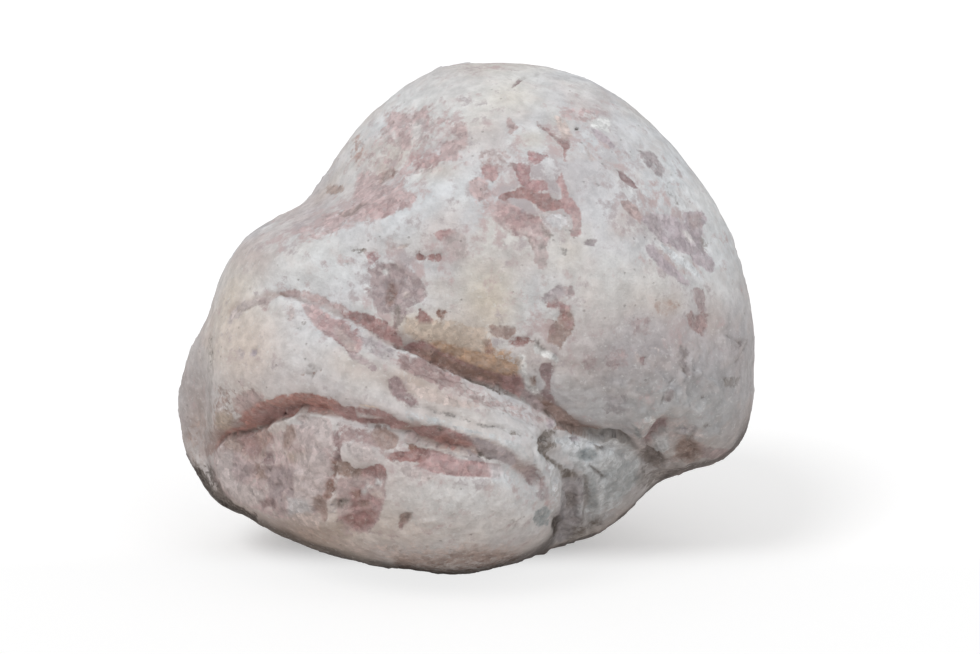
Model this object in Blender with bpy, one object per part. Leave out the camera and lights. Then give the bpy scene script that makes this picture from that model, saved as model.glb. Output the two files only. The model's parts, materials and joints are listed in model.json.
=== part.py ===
"""A water-worn boulder of rose quartz: one solid stone, lying on a flat worn under it.

The stone is drawn square on to its broad face. A point on the face is (across, up), in
millimetres: across runs to the right, and up runs up the face from its lowest edge.
Depth runs into the stone, away from someone who looks at the face. Once it is shaped,
the face leans back and the stone is set down on its worn flat, with its origin at the
middle of its base.
"""

from collections import namedtuple
from math import cos, pi, radians, sin

import bmesh
import bpy
import numpy as np
from mathutils import Matrix, Vector, noise

MM = 0.001

# The whole stone
MIDDLE = (0.0, 125.0)  # the point of the face from which the outline is measured
FRONT_DEPTH = 88.0  # from the outline to the face
BACK_DEPTH = 122.0  # from the outline to the back
FULLNESS = 0.90  # 1 is an ellipsoid, and less is squarer in the shoulders
RIM_BLEND = 0.45  # how far in from the outline a side's own relief comes in, as a slope
FACE_LEAN = radians(12)  # how far the broad face leans back
WORN_FLAT = 3.0  # height of stone that wear has taken off underneath
SPHERE_STEPS = 8  # fineness of the ball that is shaped
KEPT_TRIANGLES = 9400

# The outline of the face, from the top round to the right: (across, up, depth)
OUTLINE = (
    (13, 266, 8),
    (41, 264, 8),
    (70, 255, 6),
    (102, 231, 4),
    (123, 205, 2),
    (143, 167, 0),
    (151, 138, 0),
    (153, 102, 2),
    (150, 75, 4),
    (138, 57, 8),
    (120, 51, 10),
    (105, 45, 12),
    (92, 33, 10),
    (73, 18, 6),
    (50, 11, 2),
    (27, 3, -4),
    (0, -3, -6),
    (-34, 0, -6),
    (-78, 10, -2),
    (-113, 26, 6),
    (-131, 33, 16),
    (-140, 44, 22),
    (-154, 67, 26),
    (-157, 90, 26),
    (-149, 110, 20),
    (-137, 130, 12),
    (-128, 153, 8),
    (-115, 173, 6),
    (-98, 184, 6),
    (-83, 193, 8),
    (-69, 214, 10),
    (-41, 246, 10),
    (-14, 263, 8),
)

# Broad swellings and hollows: where, how far they reach, their turn in degrees, and their rise
Lump = namedtuple("Lump", "name at reach turn rise")
LUMP_SHOULDER = 1.3  # 1 is a bell shape, and more is flatter on top
FACE_LUMPS = (
    Lump("brow", (-80, 110), (68, 34), -16, 19),
    Lump("brow_tail", (2, 82), (58, 20), -22, 11),
    Lump("chin", (-26, 40), (96, 44), -6, 24),
    Lump("chin_facet", (-108, 58), (24, 30), -30, -5),
    Lump("shoulder", (-88, 166), (58, 22), 14, 10),
    Lump("dome_belly", (48, 165), (78, 62), -20, 13),
    Lump("left_facet", (-40, 222), (40, 24), 48, -6),
    Lump("saddle", (-76, 194), (54, 15), 10, -8),
    Lump("crown_ridge", (6, 230), (20, 46), -8, 4),
    Lump("dome_hollow", (31, 190), (34, 20), -24, -2),
    Lump("right_hollow", (112, 168), (16, 30), 30, -3),
    Lump("shoulder_ridge", (-48, 180), (56, 15), 27, 5),
    Lump("heel_knob", (74, 54), (28, 16), -24, 9),
    Lump("heel_groove", (68, 30), (6, 24), -12, -3),
    Lump("cheek_corner", (116, 84), (34, 36), 0, 10),
    Lump("left_flank", (-148, 85), (16, 48), 0, -16),
)
BACK_LUMPS = (
    Lump("hump", (-34, 152), (72, 58), 20, 13),
    Lump("low_swelling", (52, 52), (80, 40), -18, 15),
    Lump("high_swelling", (70, 190), (54, 46), 30, 9),
    Lump("left_hollow", (-104, 86), (38, 56), 10, -10),
    Lump("dish", (66, 120), (46, 30), -38, -8),
    Lump("low_knuckle", (-62, 58), (34, 26), 25, 8),
    Lump("right_chip", (112, 118), (20, 30), -12, -6),
)

# Creases where the swellings meet. A route is (across, up, depth) from end to end. A bank is
# how far the crease reaches on that side and how round its shoulder is: 1 is a straight wall,
# and more is rounder. Step is how much lower the stone lies on the left of the route than on
# its right, and fade is how far to the left it takes to come back up.
Crease = namedtuple("Crease", "name route left_bank right_bank step fade")
STEP_WIDTH = 3.0  # the distance over which a step goes down
NARROWEST = 0.45  # the share of a bank's reach that is left where the crease is shallowest
FACE_CREASES = (
    Crease(
        "under_the_dome",
        ((-124, 134, 0), (-110, 141, 3), (-92, 145, 6), (-77, 142, 6), (-63, 132, 8), (-50, 124, 9),
         (-34, 115, 12), (-13, 106, 15), (8, 96, 16), (29, 87, 16), (44, 79, 15), (60, 72, 12),
         (77, 68, 11), (90, 62, 11), (98, 54, 8), (104, 46, 4)),
        (20, 1.5), (14, 2.6), 2, 60,
    ),
    Crease(
        "under_the_brow",
        ((-134, 56, 0), (-123, 66, 7), (-107, 74, 11), (-84, 84, 12), (-63, 84, 11), (-41, 76, 10),
         (-22, 71, 10), (1, 66, 10), (18, 59, 9), (34, 51, 7), (44, 46, 0)),
        (13, 1.4), (20, 2.8), 0, 40,
    ),
    Crease(
        "brow_step",
        ((-40, 106, 0), (-38, 96, 4), (-32, 90, 4), (-22, 86, 3), (-6, 81, 3), (8, 77, 3),
         (20, 73, 3), (40, 70, 0)),
        (7, 1.2), (4, 1.5), 3, 16,
    ),
    Crease(
        "chin_end",
        ((52, 76, 0), (44, 70, 4), (45, 62, 8), (51, 52, 10), (55, 40, 11), (54, 27, 11), (47, 14, 10),
         (38, 2, 8)),
        (10, 1.8), (34, 2.6), 0, 30,
    ),
    Crease(
        "left_flank_groove",
        ((-129, 136, 0), (-132, 118, 6), (-133, 98, 10), (-135, 82, 11), (-136, 66, 10), (-133, 52, 7),
         (-126, 40, 3), (-118, 34, 0)),
        (18, 2.2), (12, 1.9), -5, 24,
    ),
    Crease(
        "chin_crack",
        ((-66, 84, 2), (-64, 69, 3), (-65, 56, 3), (-68, 42, 0)),
        (3, 1.2), (4, 2), 1, 12,
    ),
    Crease(
        "cheek_fold",
        ((120, 150, 0), (121, 128, 2), (118, 108, 2), (113, 90, 2.5), (107, 74, 3), (102, 58, 3)),
        (14, 2), (10, 1.8), 2, 30,
    ),
)
BACK_CREASES = (
    Crease(
        "back_fold",
        ((-112, 160, 0), (-92, 150, 5), (-74, 134, 9), (-58, 114, 12), (-38, 98, 14), (-10, 88, 14),
         (20, 82, 12), (46, 70, 10), (70, 52, 7), (92, 42, 0)),
        (26, 1.6), (16, 2.5), 3, 50,
    ),
    Crease(
        "back_branch",
        ((-60, 120, 0), (-66, 98, 6), (-76, 78, 8), (-92, 62, 6), (-104, 54, 0)),
        (12, 2.4), (16, 1.6), 0, 40,
    ),
    Crease(
        "back_split",
        ((8, 86, 0), (14, 66, 6), (10, 46, 8), (-2, 28, 8), (-8, 10, 5)),
        (20, 2.2), (13, 1.7), -4, 40,
    ),
)

# Parts that lie lower than the stone around them: the closed line round each, how deep its floor
# lies, and how wide the wall is that leads down to it
Recess = namedtuple("Recess", "name border deep wall")
FACE_RECESSES = (
    Recess(
        "heel",
        ((50, 75), (62, 72), (77, 68), (90, 62), (99, 54), (106, 44), (130, 30), (110, 0), (60, -20),
         (34, -8), (43, 8), (51, 22), (54, 38), (50, 52), (44, 64)),
        19, 9,
    ),
    Recess(
        "broken_corner",
        ((90, 70), (97, 82), (106, 84), (113, 78), (110, 66), (118, 60), (106, 54), (98, 56)),
        6, 6,
    ),
    Recess("corner_chip", ((119, 62), (123, 70), (133, 69), (136, 62), (126, 57)), 4, 5),
    Recess(
        "chin_hollow",
        ((-63, 46), (-60, 62), (-52, 58), (-43, 60), (-41, 46), (-44, 30), (-50, 20), (-60, 22), (-58, 34)),
        3.5, 8,
    ),
    Recess(
        "chin_slope",
        ((-124, 62), (-112, 70), (-98, 76), (-88, 74), (-84, 60), (-90, 44), (-104, 34), (-118, 44)),
        4, 9,
    ),
    Recess(
        "brow_ledge",
        ((-82, 138), (-66, 128), (-48, 118), (-30, 108), (-12, 98), (2, 90), (6, 84), (-14, 88),
         (-28, 92), (-40, 100), (-54, 112), (-70, 126)),
        3, 5,
    ),
)
BACK_RECESSES = (
    Recess(
        "high_chip",
        ((18, 236), (60, 228), (96, 196), (112, 160), (84, 176), (64, 200), (40, 208)),
        5, 14,
    ),
    Recess("low_chip", ((-70, 40), (-44, 54), (-30, 40), (-34, 24), (-60, 18)), 4, 10),
)

# Faces that wear has left nearly flat: their outward direction as (right, away, high), and how
# far the stone still reaches that way from the middle of its outline
Flat = namedtuple("Flat", "name outward reach")
FLATS = (
    Flat("back_high", (-0.25, 0.80, 0.55), 116),
    Flat("back_right", (0.72, 0.66, -0.10), 127),
    Flat("back_left", (-0.78, 0.62, 0.05), 122),
    Flat("back_low", (0.30, 0.78, -0.55), 120),
    Flat("underside", (0, 0.208, -0.978), 124),
)
FLAT_SHARE = 0.75  # how much of the stone beyond a flat is worn away
FLAT_EDGE = 4.0  # how softly a flat runs into the stone around it

# Unevenness of the whole surface: size of its swellings, and height
UNEVEN = ((75, 3.6), (30, 1.4), (12, 0.5))
FACE_UNEVEN = 0.2  # the share of it on the face, whose swellings are drawn one by one


def closed_curve(angles, knots, values):
    """A smooth closed curve through values at knots, read at angles (cubic Hermite)."""
    order = np.argsort(knots)
    knots, values = knots[order], values[order]
    before = np.roll(values, 1)
    after = np.roll(values, -1)
    gap_after = (np.roll(knots, -1) - knots) % (2 * pi)
    gap_before = np.roll(gap_after, 1)
    slopes = (after - before) / (gap_after + gap_before)
    start = (np.searchsorted(knots, angles, side="right") - 1) % len(knots)
    end = (start + 1) % len(knots)
    gap = gap_after[start]
    t = ((angles - knots[start]) % (2 * pi)) / gap
    return (
        values[start] * (1 + 2 * t) * (1 - t) ** 2
        + slopes[start] * gap * t * (1 - t) ** 2
        + values[end] * t * t * (3 - 2 * t)
        + slopes[end] * gap * t * t * (t - 1)
    )


def smooth(t):
    """0 below 0, 1 above 1, and an even S between."""
    t = np.clip(t, 0, 1)
    return t * t * (3 - 2 * t)


def eased(route):
    """The same route with its corners cut off twice."""
    route = np.array(route, float)
    for _ in range(2):
        starts, ends = route[:-1], route[1:]
        cut = np.stack([0.75 * starts + 0.25 * ends, 0.25 * starts + 0.75 * ends], axis=1)
        route = np.vstack([route[:1], cut.reshape(-1, route.shape[1]), route[-1:]])
    return route


def beside_route(across, up, route):
    """Distance to a route, whether each point is on its left, and the route's depth there."""
    nearest = np.full(across.shape, np.inf)
    on_left = np.zeros(across.shape, bool)
    deep = np.zeros(across.shape)
    for start, end in zip(route, route[1:]):
        run = end[:2] - start[:2]
        length = np.hypot(*run)
        along_x, along_up = run / length
        dx, dup = across - start[0], up - start[1]
        t = np.clip(dx * along_x + dup * along_up, 0, length)
        gap = np.hypot(dx - t * along_x, dup - t * along_up)
        closer = gap < nearest
        nearest = np.where(closer, gap, nearest)
        on_left = np.where(closer, along_x * dup - along_up * dx > 0, on_left)
        deep = np.where(closer, start[2] + t / length * (end[2] - start[2]), deep)
    return nearest, on_left, deep


def inside_border(across, up, border):
    """Distance to a closed line, counted as more than 0 inside it and less outside."""
    inside = np.zeros(across.shape, bool)
    closed = eased([(*corner, 0) for corner in border + border[:1]])
    for start, end in zip(closed, closed[1:]):
        spans = (start[1] > up) != (end[1] > up)
        climb = end[1] - start[1] or 1
        crossing = start[0] + (up - start[1]) / climb * (end[0] - start[0])
        inside ^= spans & (across < crossing)
    gap = beside_route(across, up, closed)[0]
    return np.where(inside, gap, -gap)


def relief(across, up, lumps, creases, recesses):
    """How far a side of the stone stands out from the plain swollen outline."""
    rise = np.zeros(across.shape)
    for lump in lumps:
        turn = radians(lump.turn)
        dx, dup = across - lump.at[0], up - lump.at[1]
        along = (dx * cos(turn) + dup * sin(turn)) / lump.reach[0]
        over = (dup * cos(turn) - dx * sin(turn)) / lump.reach[1]
        rise += lump.rise * np.exp(-(along**2 + over**2) ** LUMP_SHOULDER)
    for crease in creases:
        gap, on_left, deep = beside_route(across, up, eased(crease.route))
        share = deep / max(point[2] for point in crease.route)
        reach = np.where(on_left, crease.left_bank[0], crease.right_bank[0])
        reach = reach * (NARROWEST + (1 - NARROWEST) * share)
        roundness = np.where(on_left, crease.left_bank[1], crease.right_bank[1])
        wall = np.clip(1 - gap / reach, 0, 1)
        rise -= deep * wall**roundness
        lowered = np.where(on_left, 1 - smooth(gap / crease.fade), 0)
        rise -= crease.step * share * lowered * smooth(gap / STEP_WIDTH)
    for recess in recesses:
        within = inside_border(across, up, recess.border)
        rise -= recess.deep * smooth(0.5 + within / recess.wall)
    return rise


def shaped_points(directions):
    """The stone's points, in millimetres, for the directions of a ball's points."""
    right, away, high = directions.T
    flat = np.hypot(right, high)
    angle = np.arctan2(high, right)
    outline = np.array(OUTLINE, float)
    offsets = outline[:, :2] - MIDDLE
    knots = np.arctan2(offsets[:, 1], offsets[:, 0])
    reach = closed_curve(angle, knots, np.hypot(*offsets.T)) * flat**FULLNESS
    across = MIDDLE[0] + reach * np.cos(angle)
    up = MIDDLE[1] + reach * np.sin(angle)
    rim = closed_curve(angle, knots, outline[:, 2]) * flat**2
    thick = np.where(away < 0, FRONT_DEPTH, BACK_DEPTH)
    depth = rim + thick * np.sign(away) * np.abs(away) ** FULLNESS
    on_face = smooth(-away / RIM_BLEND)
    on_back = smooth(away / RIM_BLEND)
    depth -= relief(across, up, FACE_LUMPS, FACE_CREASES, FACE_RECESSES) * on_face
    depth += relief(across, up, BACK_LUMPS, BACK_CREASES, BACK_RECESSES) * on_back
    points = np.column_stack([across, depth, up])
    middle = np.array([MIDDLE[0], 0, MIDDLE[1]])
    for worn in FLATS:
        outward = np.array(worn.outward) / np.linalg.norm(worn.outward)
        beyond = (points - middle) @ outward - worn.reach
        beyond = FLAT_EDGE * np.logaddexp(0, beyond / FLAT_EDGE)
        points -= np.outer(beyond * FLAT_SHARE, outward)
    swell = np.zeros(len(points))
    for size, height in UNEVEN:
        swell += height * np.array([noise.noise(Vector(p) / size) for p in points])
    swell *= FACE_UNEVEN + (1 - FACE_UNEVEN) * on_back
    return points + directions * swell[:, None]


def set_down(stone):
    """Cuts the worn flat, and moves the stone so that the middle of its base is the origin."""
    shape = bmesh.new()
    shape.from_mesh(stone.data)
    lowest = min(v.co.z for v in shape.verts)
    cut = bmesh.ops.bisect_plane(
        shape,
        geom=shape.verts[:] + shape.edges[:] + shape.faces[:],
        dist=0.01 * MM,
        plane_co=(0, 0, lowest + WORN_FLAT * MM),
        plane_no=(0, 0, -1),
        clear_outer=True,
    )
    rim = [part for part in cut["geom_cut"] if isinstance(part, bmesh.types.BMEdge)]
    bmesh.ops.holes_fill(shape, edges=rim, sides=0)
    corners = np.array([v.co for v in shape.verts])
    low, high = corners.min(axis=0), corners.max(axis=0)
    base_middle = Vector(((low[0] + high[0]) / 2, (low[1] + high[1]) / 2, low[2]))
    bmesh.ops.translate(shape, verts=shape.verts, vec=-base_middle)
    shape.to_mesh(stone.data)
    shape.free()


def stone_material():
    """Milky white quartz with a faint pink, worn to a dull finish."""
    material = bpy.data.materials.new("rose_quartz")
    material.use_nodes = True
    surface = material.node_tree.nodes["Principled BSDF"]
    surface.inputs["Base Color"].default_value = (0.58, 0.50, 0.48, 1)
    surface.inputs["Roughness"].default_value = 0.62
    surface.inputs["Metallic"].default_value = 0
    return material


def build_stone():
    """Shapes a fine ball into the stone, then keeps the triangles that its form needs."""
    ball = bmesh.new()
    bmesh.ops.create_icosphere(ball, subdivisions=SPHERE_STEPS, radius=1)
    directions = np.array([v.co.normalized() for v in ball.verts])
    for vert, point in zip(ball.verts, shaped_points(directions)):
        vert.co = Vector(point) * MM
    mesh = bpy.data.meshes.new("stone")
    ball.to_mesh(mesh)
    ball.free()
    mesh.transform(Matrix.Rotation(-FACE_LEAN, 4, "X"))
    stone = bpy.data.objects.new("stone", mesh)
    bpy.context.scene.collection.objects.link(stone)
    bpy.context.view_layer.objects.active = stone
    thinning = stone.modifiers.new("thinning", "DECIMATE")
    thinning.ratio = KEPT_TRIANGLES / len(mesh.polygons)
    bpy.ops.object.modifier_apply(modifier=thinning.name)
    set_down(stone)
    stone.data.materials.append(stone_material())
    stone.data.shade_smooth()
    return stone


def main():
    for obj in list(bpy.data.objects):
        bpy.data.objects.remove(obj)
    build_stone()


main()
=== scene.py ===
"""Looks of the rose quartz boulder: its worn crust, the bare pink quartz in it and the studio."""

import json
import math
import random

import bpy
import numpy as np
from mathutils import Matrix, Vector, noise

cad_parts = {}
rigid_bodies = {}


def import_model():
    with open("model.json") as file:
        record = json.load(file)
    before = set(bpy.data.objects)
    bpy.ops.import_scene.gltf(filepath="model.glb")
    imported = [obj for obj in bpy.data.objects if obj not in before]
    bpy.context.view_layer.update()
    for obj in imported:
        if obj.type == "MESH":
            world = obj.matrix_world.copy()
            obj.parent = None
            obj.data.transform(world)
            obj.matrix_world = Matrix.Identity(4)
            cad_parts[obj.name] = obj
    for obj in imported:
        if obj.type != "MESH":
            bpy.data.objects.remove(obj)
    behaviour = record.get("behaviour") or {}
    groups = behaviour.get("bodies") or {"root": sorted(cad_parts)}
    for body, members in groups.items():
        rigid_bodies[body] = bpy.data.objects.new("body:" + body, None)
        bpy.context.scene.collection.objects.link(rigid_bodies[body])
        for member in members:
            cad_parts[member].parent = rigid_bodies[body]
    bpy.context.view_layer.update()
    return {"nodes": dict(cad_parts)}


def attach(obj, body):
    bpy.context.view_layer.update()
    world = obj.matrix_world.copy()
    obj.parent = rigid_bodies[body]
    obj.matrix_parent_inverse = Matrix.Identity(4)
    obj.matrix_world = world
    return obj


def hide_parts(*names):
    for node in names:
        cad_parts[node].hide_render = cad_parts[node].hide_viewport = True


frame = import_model()

MM = 0.001

# The marks on the face are laid out as they are seen from the eye, which looks a little down.
# A place on the face is (across, up) in steps of about half a millimetre, or STEP in mm. An
# outline or a route is a row of such places: across, up, across, up and so on.
EYE = np.array((0.0135, -1.1288, 0.3611))
EYE_DROP = math.radians(12)
STEPS_PER_SLOPE = 2177.8
FACE_MIDDLE = (25, 245)
STEP = 0.5236

# The mesh: its grain, and its rounds of smoothing before and after the part that the eye sees
# is split finer. Facing the eye is 1 and the rim is 0: above FINE_FACING the mesh is finer,
# and the face gives way to the back over FACE_FADE.
MERGE = 0.01 * MM
VOXEL = 2.95 * MM
SMOOTHING = 0.5
ROUNDS_BEFORE_SPLIT = 10
ROUNDS_AFTER_SPLIT = 4
FINE_FACING = 0.0
FACE_FADE = (-0.05, 0.12)

# Layers of noise: (height in mm or strength, size in mm, seed). SEED_STEP sets seeds apart.
SEED_STEP = (7.31, 3.17, 5.53)
ROLLING = ((0.7, 34, 1), (0.45, 15, 2), (0.28, 7, 3), (0.16, 3.4, 4))
CRAG_BACKGROUND = ((0.5, 40, 9),)
CRAG_LEVEL_BEHIND = 0.3
CRAG_HEIGHT = 1.25
CRAG_FACETS = ((0.9, 11, 12), (0.5, 5.5, 13))
CRAG_RIDGES = (0.6, 8, 14)
CRAG_GRAIN = ((0.3, 2.8, 15),)
LEDGE_WANDER = ((2.2, 9, 16), (1.2, 3.6, 17))
CRACK_WANDER = ((1.2, 4, 6),)
BANK_WANDER = ((1, 9, 21), (0.5, 4, 22))
EDGE_ACROSS = ((1.3, 5, 31), (0.7, 2.5, 32))
EDGE_UP = ((1.3, 5, 33), (0.7, 2.5, 34))
BLUSH_BEHIND = ((0.7, 42, 8),)
BLUSH_LEVEL_BEHIND = 0.12
BLUSH_LEVEL_ON_FACE = -0.2

# Bare quartz lies BARE_DROP mm below the crust and is faceted. A patch starts to count as
# bare when it is darker than BARE_FROM, and is wholly bare when BARE_DEPTH darker still.
BARE_FROM = 0.5
BARE_DEPTH = 0.3
BARE_DROP = 0.5
BARE_FACETS = ((0.4, 4.2, 5),)
FACET_TILT = 1.6
FACET_PICKS = (3.7, 5.1)

# How far marks reach past their outline or route, in steps, and how they fade.
MARK_MARGIN = 4
CRACK_MARGIN = 6
BANK_MARGIN = 1.5
LEDGE_FALL = 1.5
CRACK_FALL = 1.3
ROUTE_END = 12
EDGE_SOFTNESS = 0.75
EDGE_SOFTNESS_AT_LEAST = 1.0
BANK_EDGE = (-2.5, 0.5)
BANK_FADE = (0.25, 1.05)
BANK_UNEVENNESS = 0.3

# The flat that the stone lies on isn't carved: carving comes in over these mm above the floor.
CARVED_FROM = (0.4, 4)

# Hollows get painted shade and dirt: the depth in mm that would be wholly darkened, and the most
# that there is.
SHADE_AND_DIRT_DEPTH = 9
MOST_SHADE_AND_DIRT = 0.5

# Patches round the back: their scatter as a share of the group's spread, their turn in
# degrees, and their reach and the softness of their edges in steps.
BACK_SEED = 11
BACK_SOFTNESS = 2.5
BACK_SPREAD = 0.5
BACK_TURN = 15
BACK_REACH = (7, 26)
BACK_STRENGTH = (0.4, 0.95)
BACK_CORNERS = (6, 9)
BACK_MARGIN = 1.2
CORNER_JITTER = 0.3
CORNER_REACH = (0.55, 1.15)

# Painted shade on the underside, and the brown around it, which is partly dirt and partly
# painted shade: where the surface's lean (its direction's height) and its facing bring them in,
# and how strong they are.
UNDER_LEAN = (0.1, -0.45)
UNDER_FACING = (0.28, 0.12)
UNDER_BEHIND = (-0.3, 0.08)
UNDER_STRENGTH = (0.1, 0.56)
SHADE_AND_DIRT_BELOW_LEAN = (0.1, -0.4)
SHADE_AND_DIRT_BELOW_FACING = (0.6, 0.25)
SHADE_AND_DIRT_BELOW_STRENGTH = 0.28
LESS_BLUSH_WHERE_BROKEN = 0.45
LESS_BLUSH_WHERE_BARE = 0.8

# Noises in the finish: (size in mm, detail, roughness).
DRIFT = (22, 4.0, 0.6)
MOTTLE = (5.5, 6.0, 0.62)
CHALK_DUST = (2.2, 3.0, 0.7)
WARMTH = (9, 3.0, 0.5)
CLOUDS = (8.0, 7.0, 0.68)
BROKEN_EDGE = (2.6, 5.0, 0.65)
HAZE = (3.0, 4.0, 0.6)
CRUMBS = (2.2, 4.0, 0.7)
GRIT = (1.3, 5.0, 0.65)

# Broken grains in it, by size in mm, and how their straight edges are worn.
CHIPS = 3.6
SPLINTERS = 1.7
SPECKS = 5.0
WARP_SCALE = 700
WARP_DETAIL = 2.0
WARP_REACH = 1.6

# How the finish reads a value: (from, to), or (from, to, read as, up to).
CRUST_BY_DRIFT = (0.3, 0.7, 0.93, 1.05)
CRUST_BY_MOTTLE = (0.28, 0.72, 0.88, 1.09)
CHALK_SHOWS = (0.56, 0.7)
WARMTH_SHOWS = (0.5, 0.7)
BLUSH_SHOWS = (0.56, 0.74)
LILAC_BY_DRIFT = (0.4, 0.6)
PATCH_BY_CHIP = (0.0, 1.0, 0.86, 1.14)
PATCH_BY_SPLINTER = (0.0, 1.0, 0.89, 1.1)
PATCH_BY_MOTTLE = (0.3, 0.7, 0.88, 1.1)
PATCH_SHOWS = (0.22, 0.78)
PATCH_BY_HAZE = (0.7, 0.35, 0.75, 1.0)
CRUMB_SHOWS = (0.56, 0.68)
SPECK_PICK = (0.7, 0.8)
SPECK_EDGE = (0.16, 0.08)
GROOVE_SHADE_AND_DIRT_SHOWS = (0.1, 0.9)
ROUGH_BY_MOTTLE = (0.3, 0.7, 0.72, 0.9)

# How strong each part of the finish is.
CHALK_STRENGTH = 0.4
WARMTH_STRENGTH = 0.22
BLUSH_LIFT = 0.3
BLUSH_CHIPS = 0.07
BLUSH_STRENGTH = 0.8
EDGE_NOISE = 0.9
EDGE_CHIPS = 0.34
EDGE_SPLINTERS = 0.28
EDGE_RAGGEDNESS = 0.95
CRUMB_STRENGTH = 0.6
SPECK_STRENGTH = 0.3
GROOVE_STRENGTH = 0.4
BARE_SMOOTHNESS = 0.24
GRIT_HEIGHT = 0.35
MOTTLE_HEIGHT = 0.9
CHIP_HEIGHT = 0.25
BARE_DEPRESSION = 0.25
SPECK_DEPRESSION = 0.3
BUMP_HEIGHT = 1.0
STONE_IOR = 1.5
STONE_GLOSS = 0.4

# The floor, a square with sides of 40 m. From FLOOR_FRONT's first mm to its second along Y, what
# the camera sees of it turns from darker paint with more glow, where a shadow stays faint, to
# paler paint with less. What the stone gets back from it is FLOOR_BOUNCE.
FLOOR_SIZE = 40
FLOOR_FRONT = (-42, 8)
FLOOR_SEEN = (0.8, 0.8, 0.8)
FLOOR_SEEN_IN_FRONT = (0.22, 0.22, 0.22)
FLOOR_BOUNCE = (0.7, 0.65, 0.61)
FLOOR_LIFT = 0.35
FLOOR_LIFT_IN_FRONT = 0.8

# The light: the world's glow by the height of its direction, and two suns, with their turn and
# softness in degrees.
GLOW_HEIGHTS = (-0.1, 1.0)
HORIZON_GLOW = 0.25
OVERHEAD_GLOW = 0.69
KEY_TURN = (32, -32, 0)
KEY_SOFTNESS = 26
KEY_STRENGTH = 1.14
FILL_TURN = (72, 0, 50)
FILL_SOFTNESS = 70
FILL_STRENGTH = 0.78

# The camera's lens in mm.
LENS = 80

# Tones are written from 0 to FULL_TONE, on a curve that the shader's own colours don't have.
FULL_TONE = 255
TONE_CURVE = 2.2


def tone(red, green, blue):
    """A colour of 0 to 255 per channel as the shader wants it."""
    return tuple((channel / FULL_TONE) ** TONE_CURVE for channel in (red, green, blue))


SALMON = tone(170, 124, 119)
ROSE = tone(178, 149, 149)
PINK = tone(192, 172, 172)
DUSTY = tone(181, 162, 161)
MAUVE = tone(170, 155, 156)
PLUM = tone(148, 128, 129)
BROWN = tone(162, 142, 136)
RUST = tone(176, 149, 142)
OCHRE = tone(182, 166, 148)
CREAM = tone(216, 205, 188)
PEACH = tone(218, 200, 184)
PINK_CREAM = tone(208, 196, 192)
BLUE_WHITE = tone(218, 222, 226)
WHITE = tone(224, 225, 225)
GREY = tone(166, 162, 165)
BLUE_GREY = tone(146, 153, 156)
SHADOW = tone(122, 114, 108)
# Tones of the banks over creases: a brown stain, deepened by painted shade.
BANK = tone(156, 122, 112)
DEEP_BANK = tone(134, 108, 98)
CRUST = tone(209, 209, 212)
FAWN = tone(172, 154, 147)
UMBER = tone(142, 122, 114)
SAND = tone(192, 177, 164)
AMBER = tone(180, 151, 128)
PEAT = tone(132, 104, 94)
WINE = tone(150, 115, 112)
MADDER = tone(160, 128, 126)
BRICK = tone(178, 136, 129)
LILAC = tone(172, 163, 166)
SHELL = tone(203, 189, 184)
CLAY = tone(190, 172, 163)
CHALK = tone(212, 209, 208)
PALE_BLUE = tone(196, 200, 203)
SLATE = tone(139, 135, 133)
# A dark brown used mostly as painted shade in recesses, cracks and under the rim.
DEEP_SHADE = tone(98, 90, 85)
# A near-black brown for the painted shade on the underside.
UNDERSIDE_SHADE = tone(44, 38, 34)
GARNET = tone(170, 138, 139)
COCOA = tone(131, 109, 109)
TAUPE = tone(164, 142, 141)
ORCHID = tone(182, 172, 178)
EARTH = tone(150, 124, 112)
ASH = tone(153, 146, 147)
PEARL = tone(194, 184, 183)

# Drifts of colour in the crust: (tone, size in mm, noise from, noise to, seed, strength).
CRUST_DRIFTS = (
    (CREAM, 48, 0.05, 0.5, 1, 0.45),
    (BLUE_WHITE, 40, -0.1, 0.4, 2, 0.6),
    (PINK_CREAM, 26, 0.0, 0.4, 3, 0.5),
    (GREY, 22, 0.1, 0.5, 4, 0.3),
    (WHITE, 14, 0.05, 0.45, 5, 0.5),
)
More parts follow.
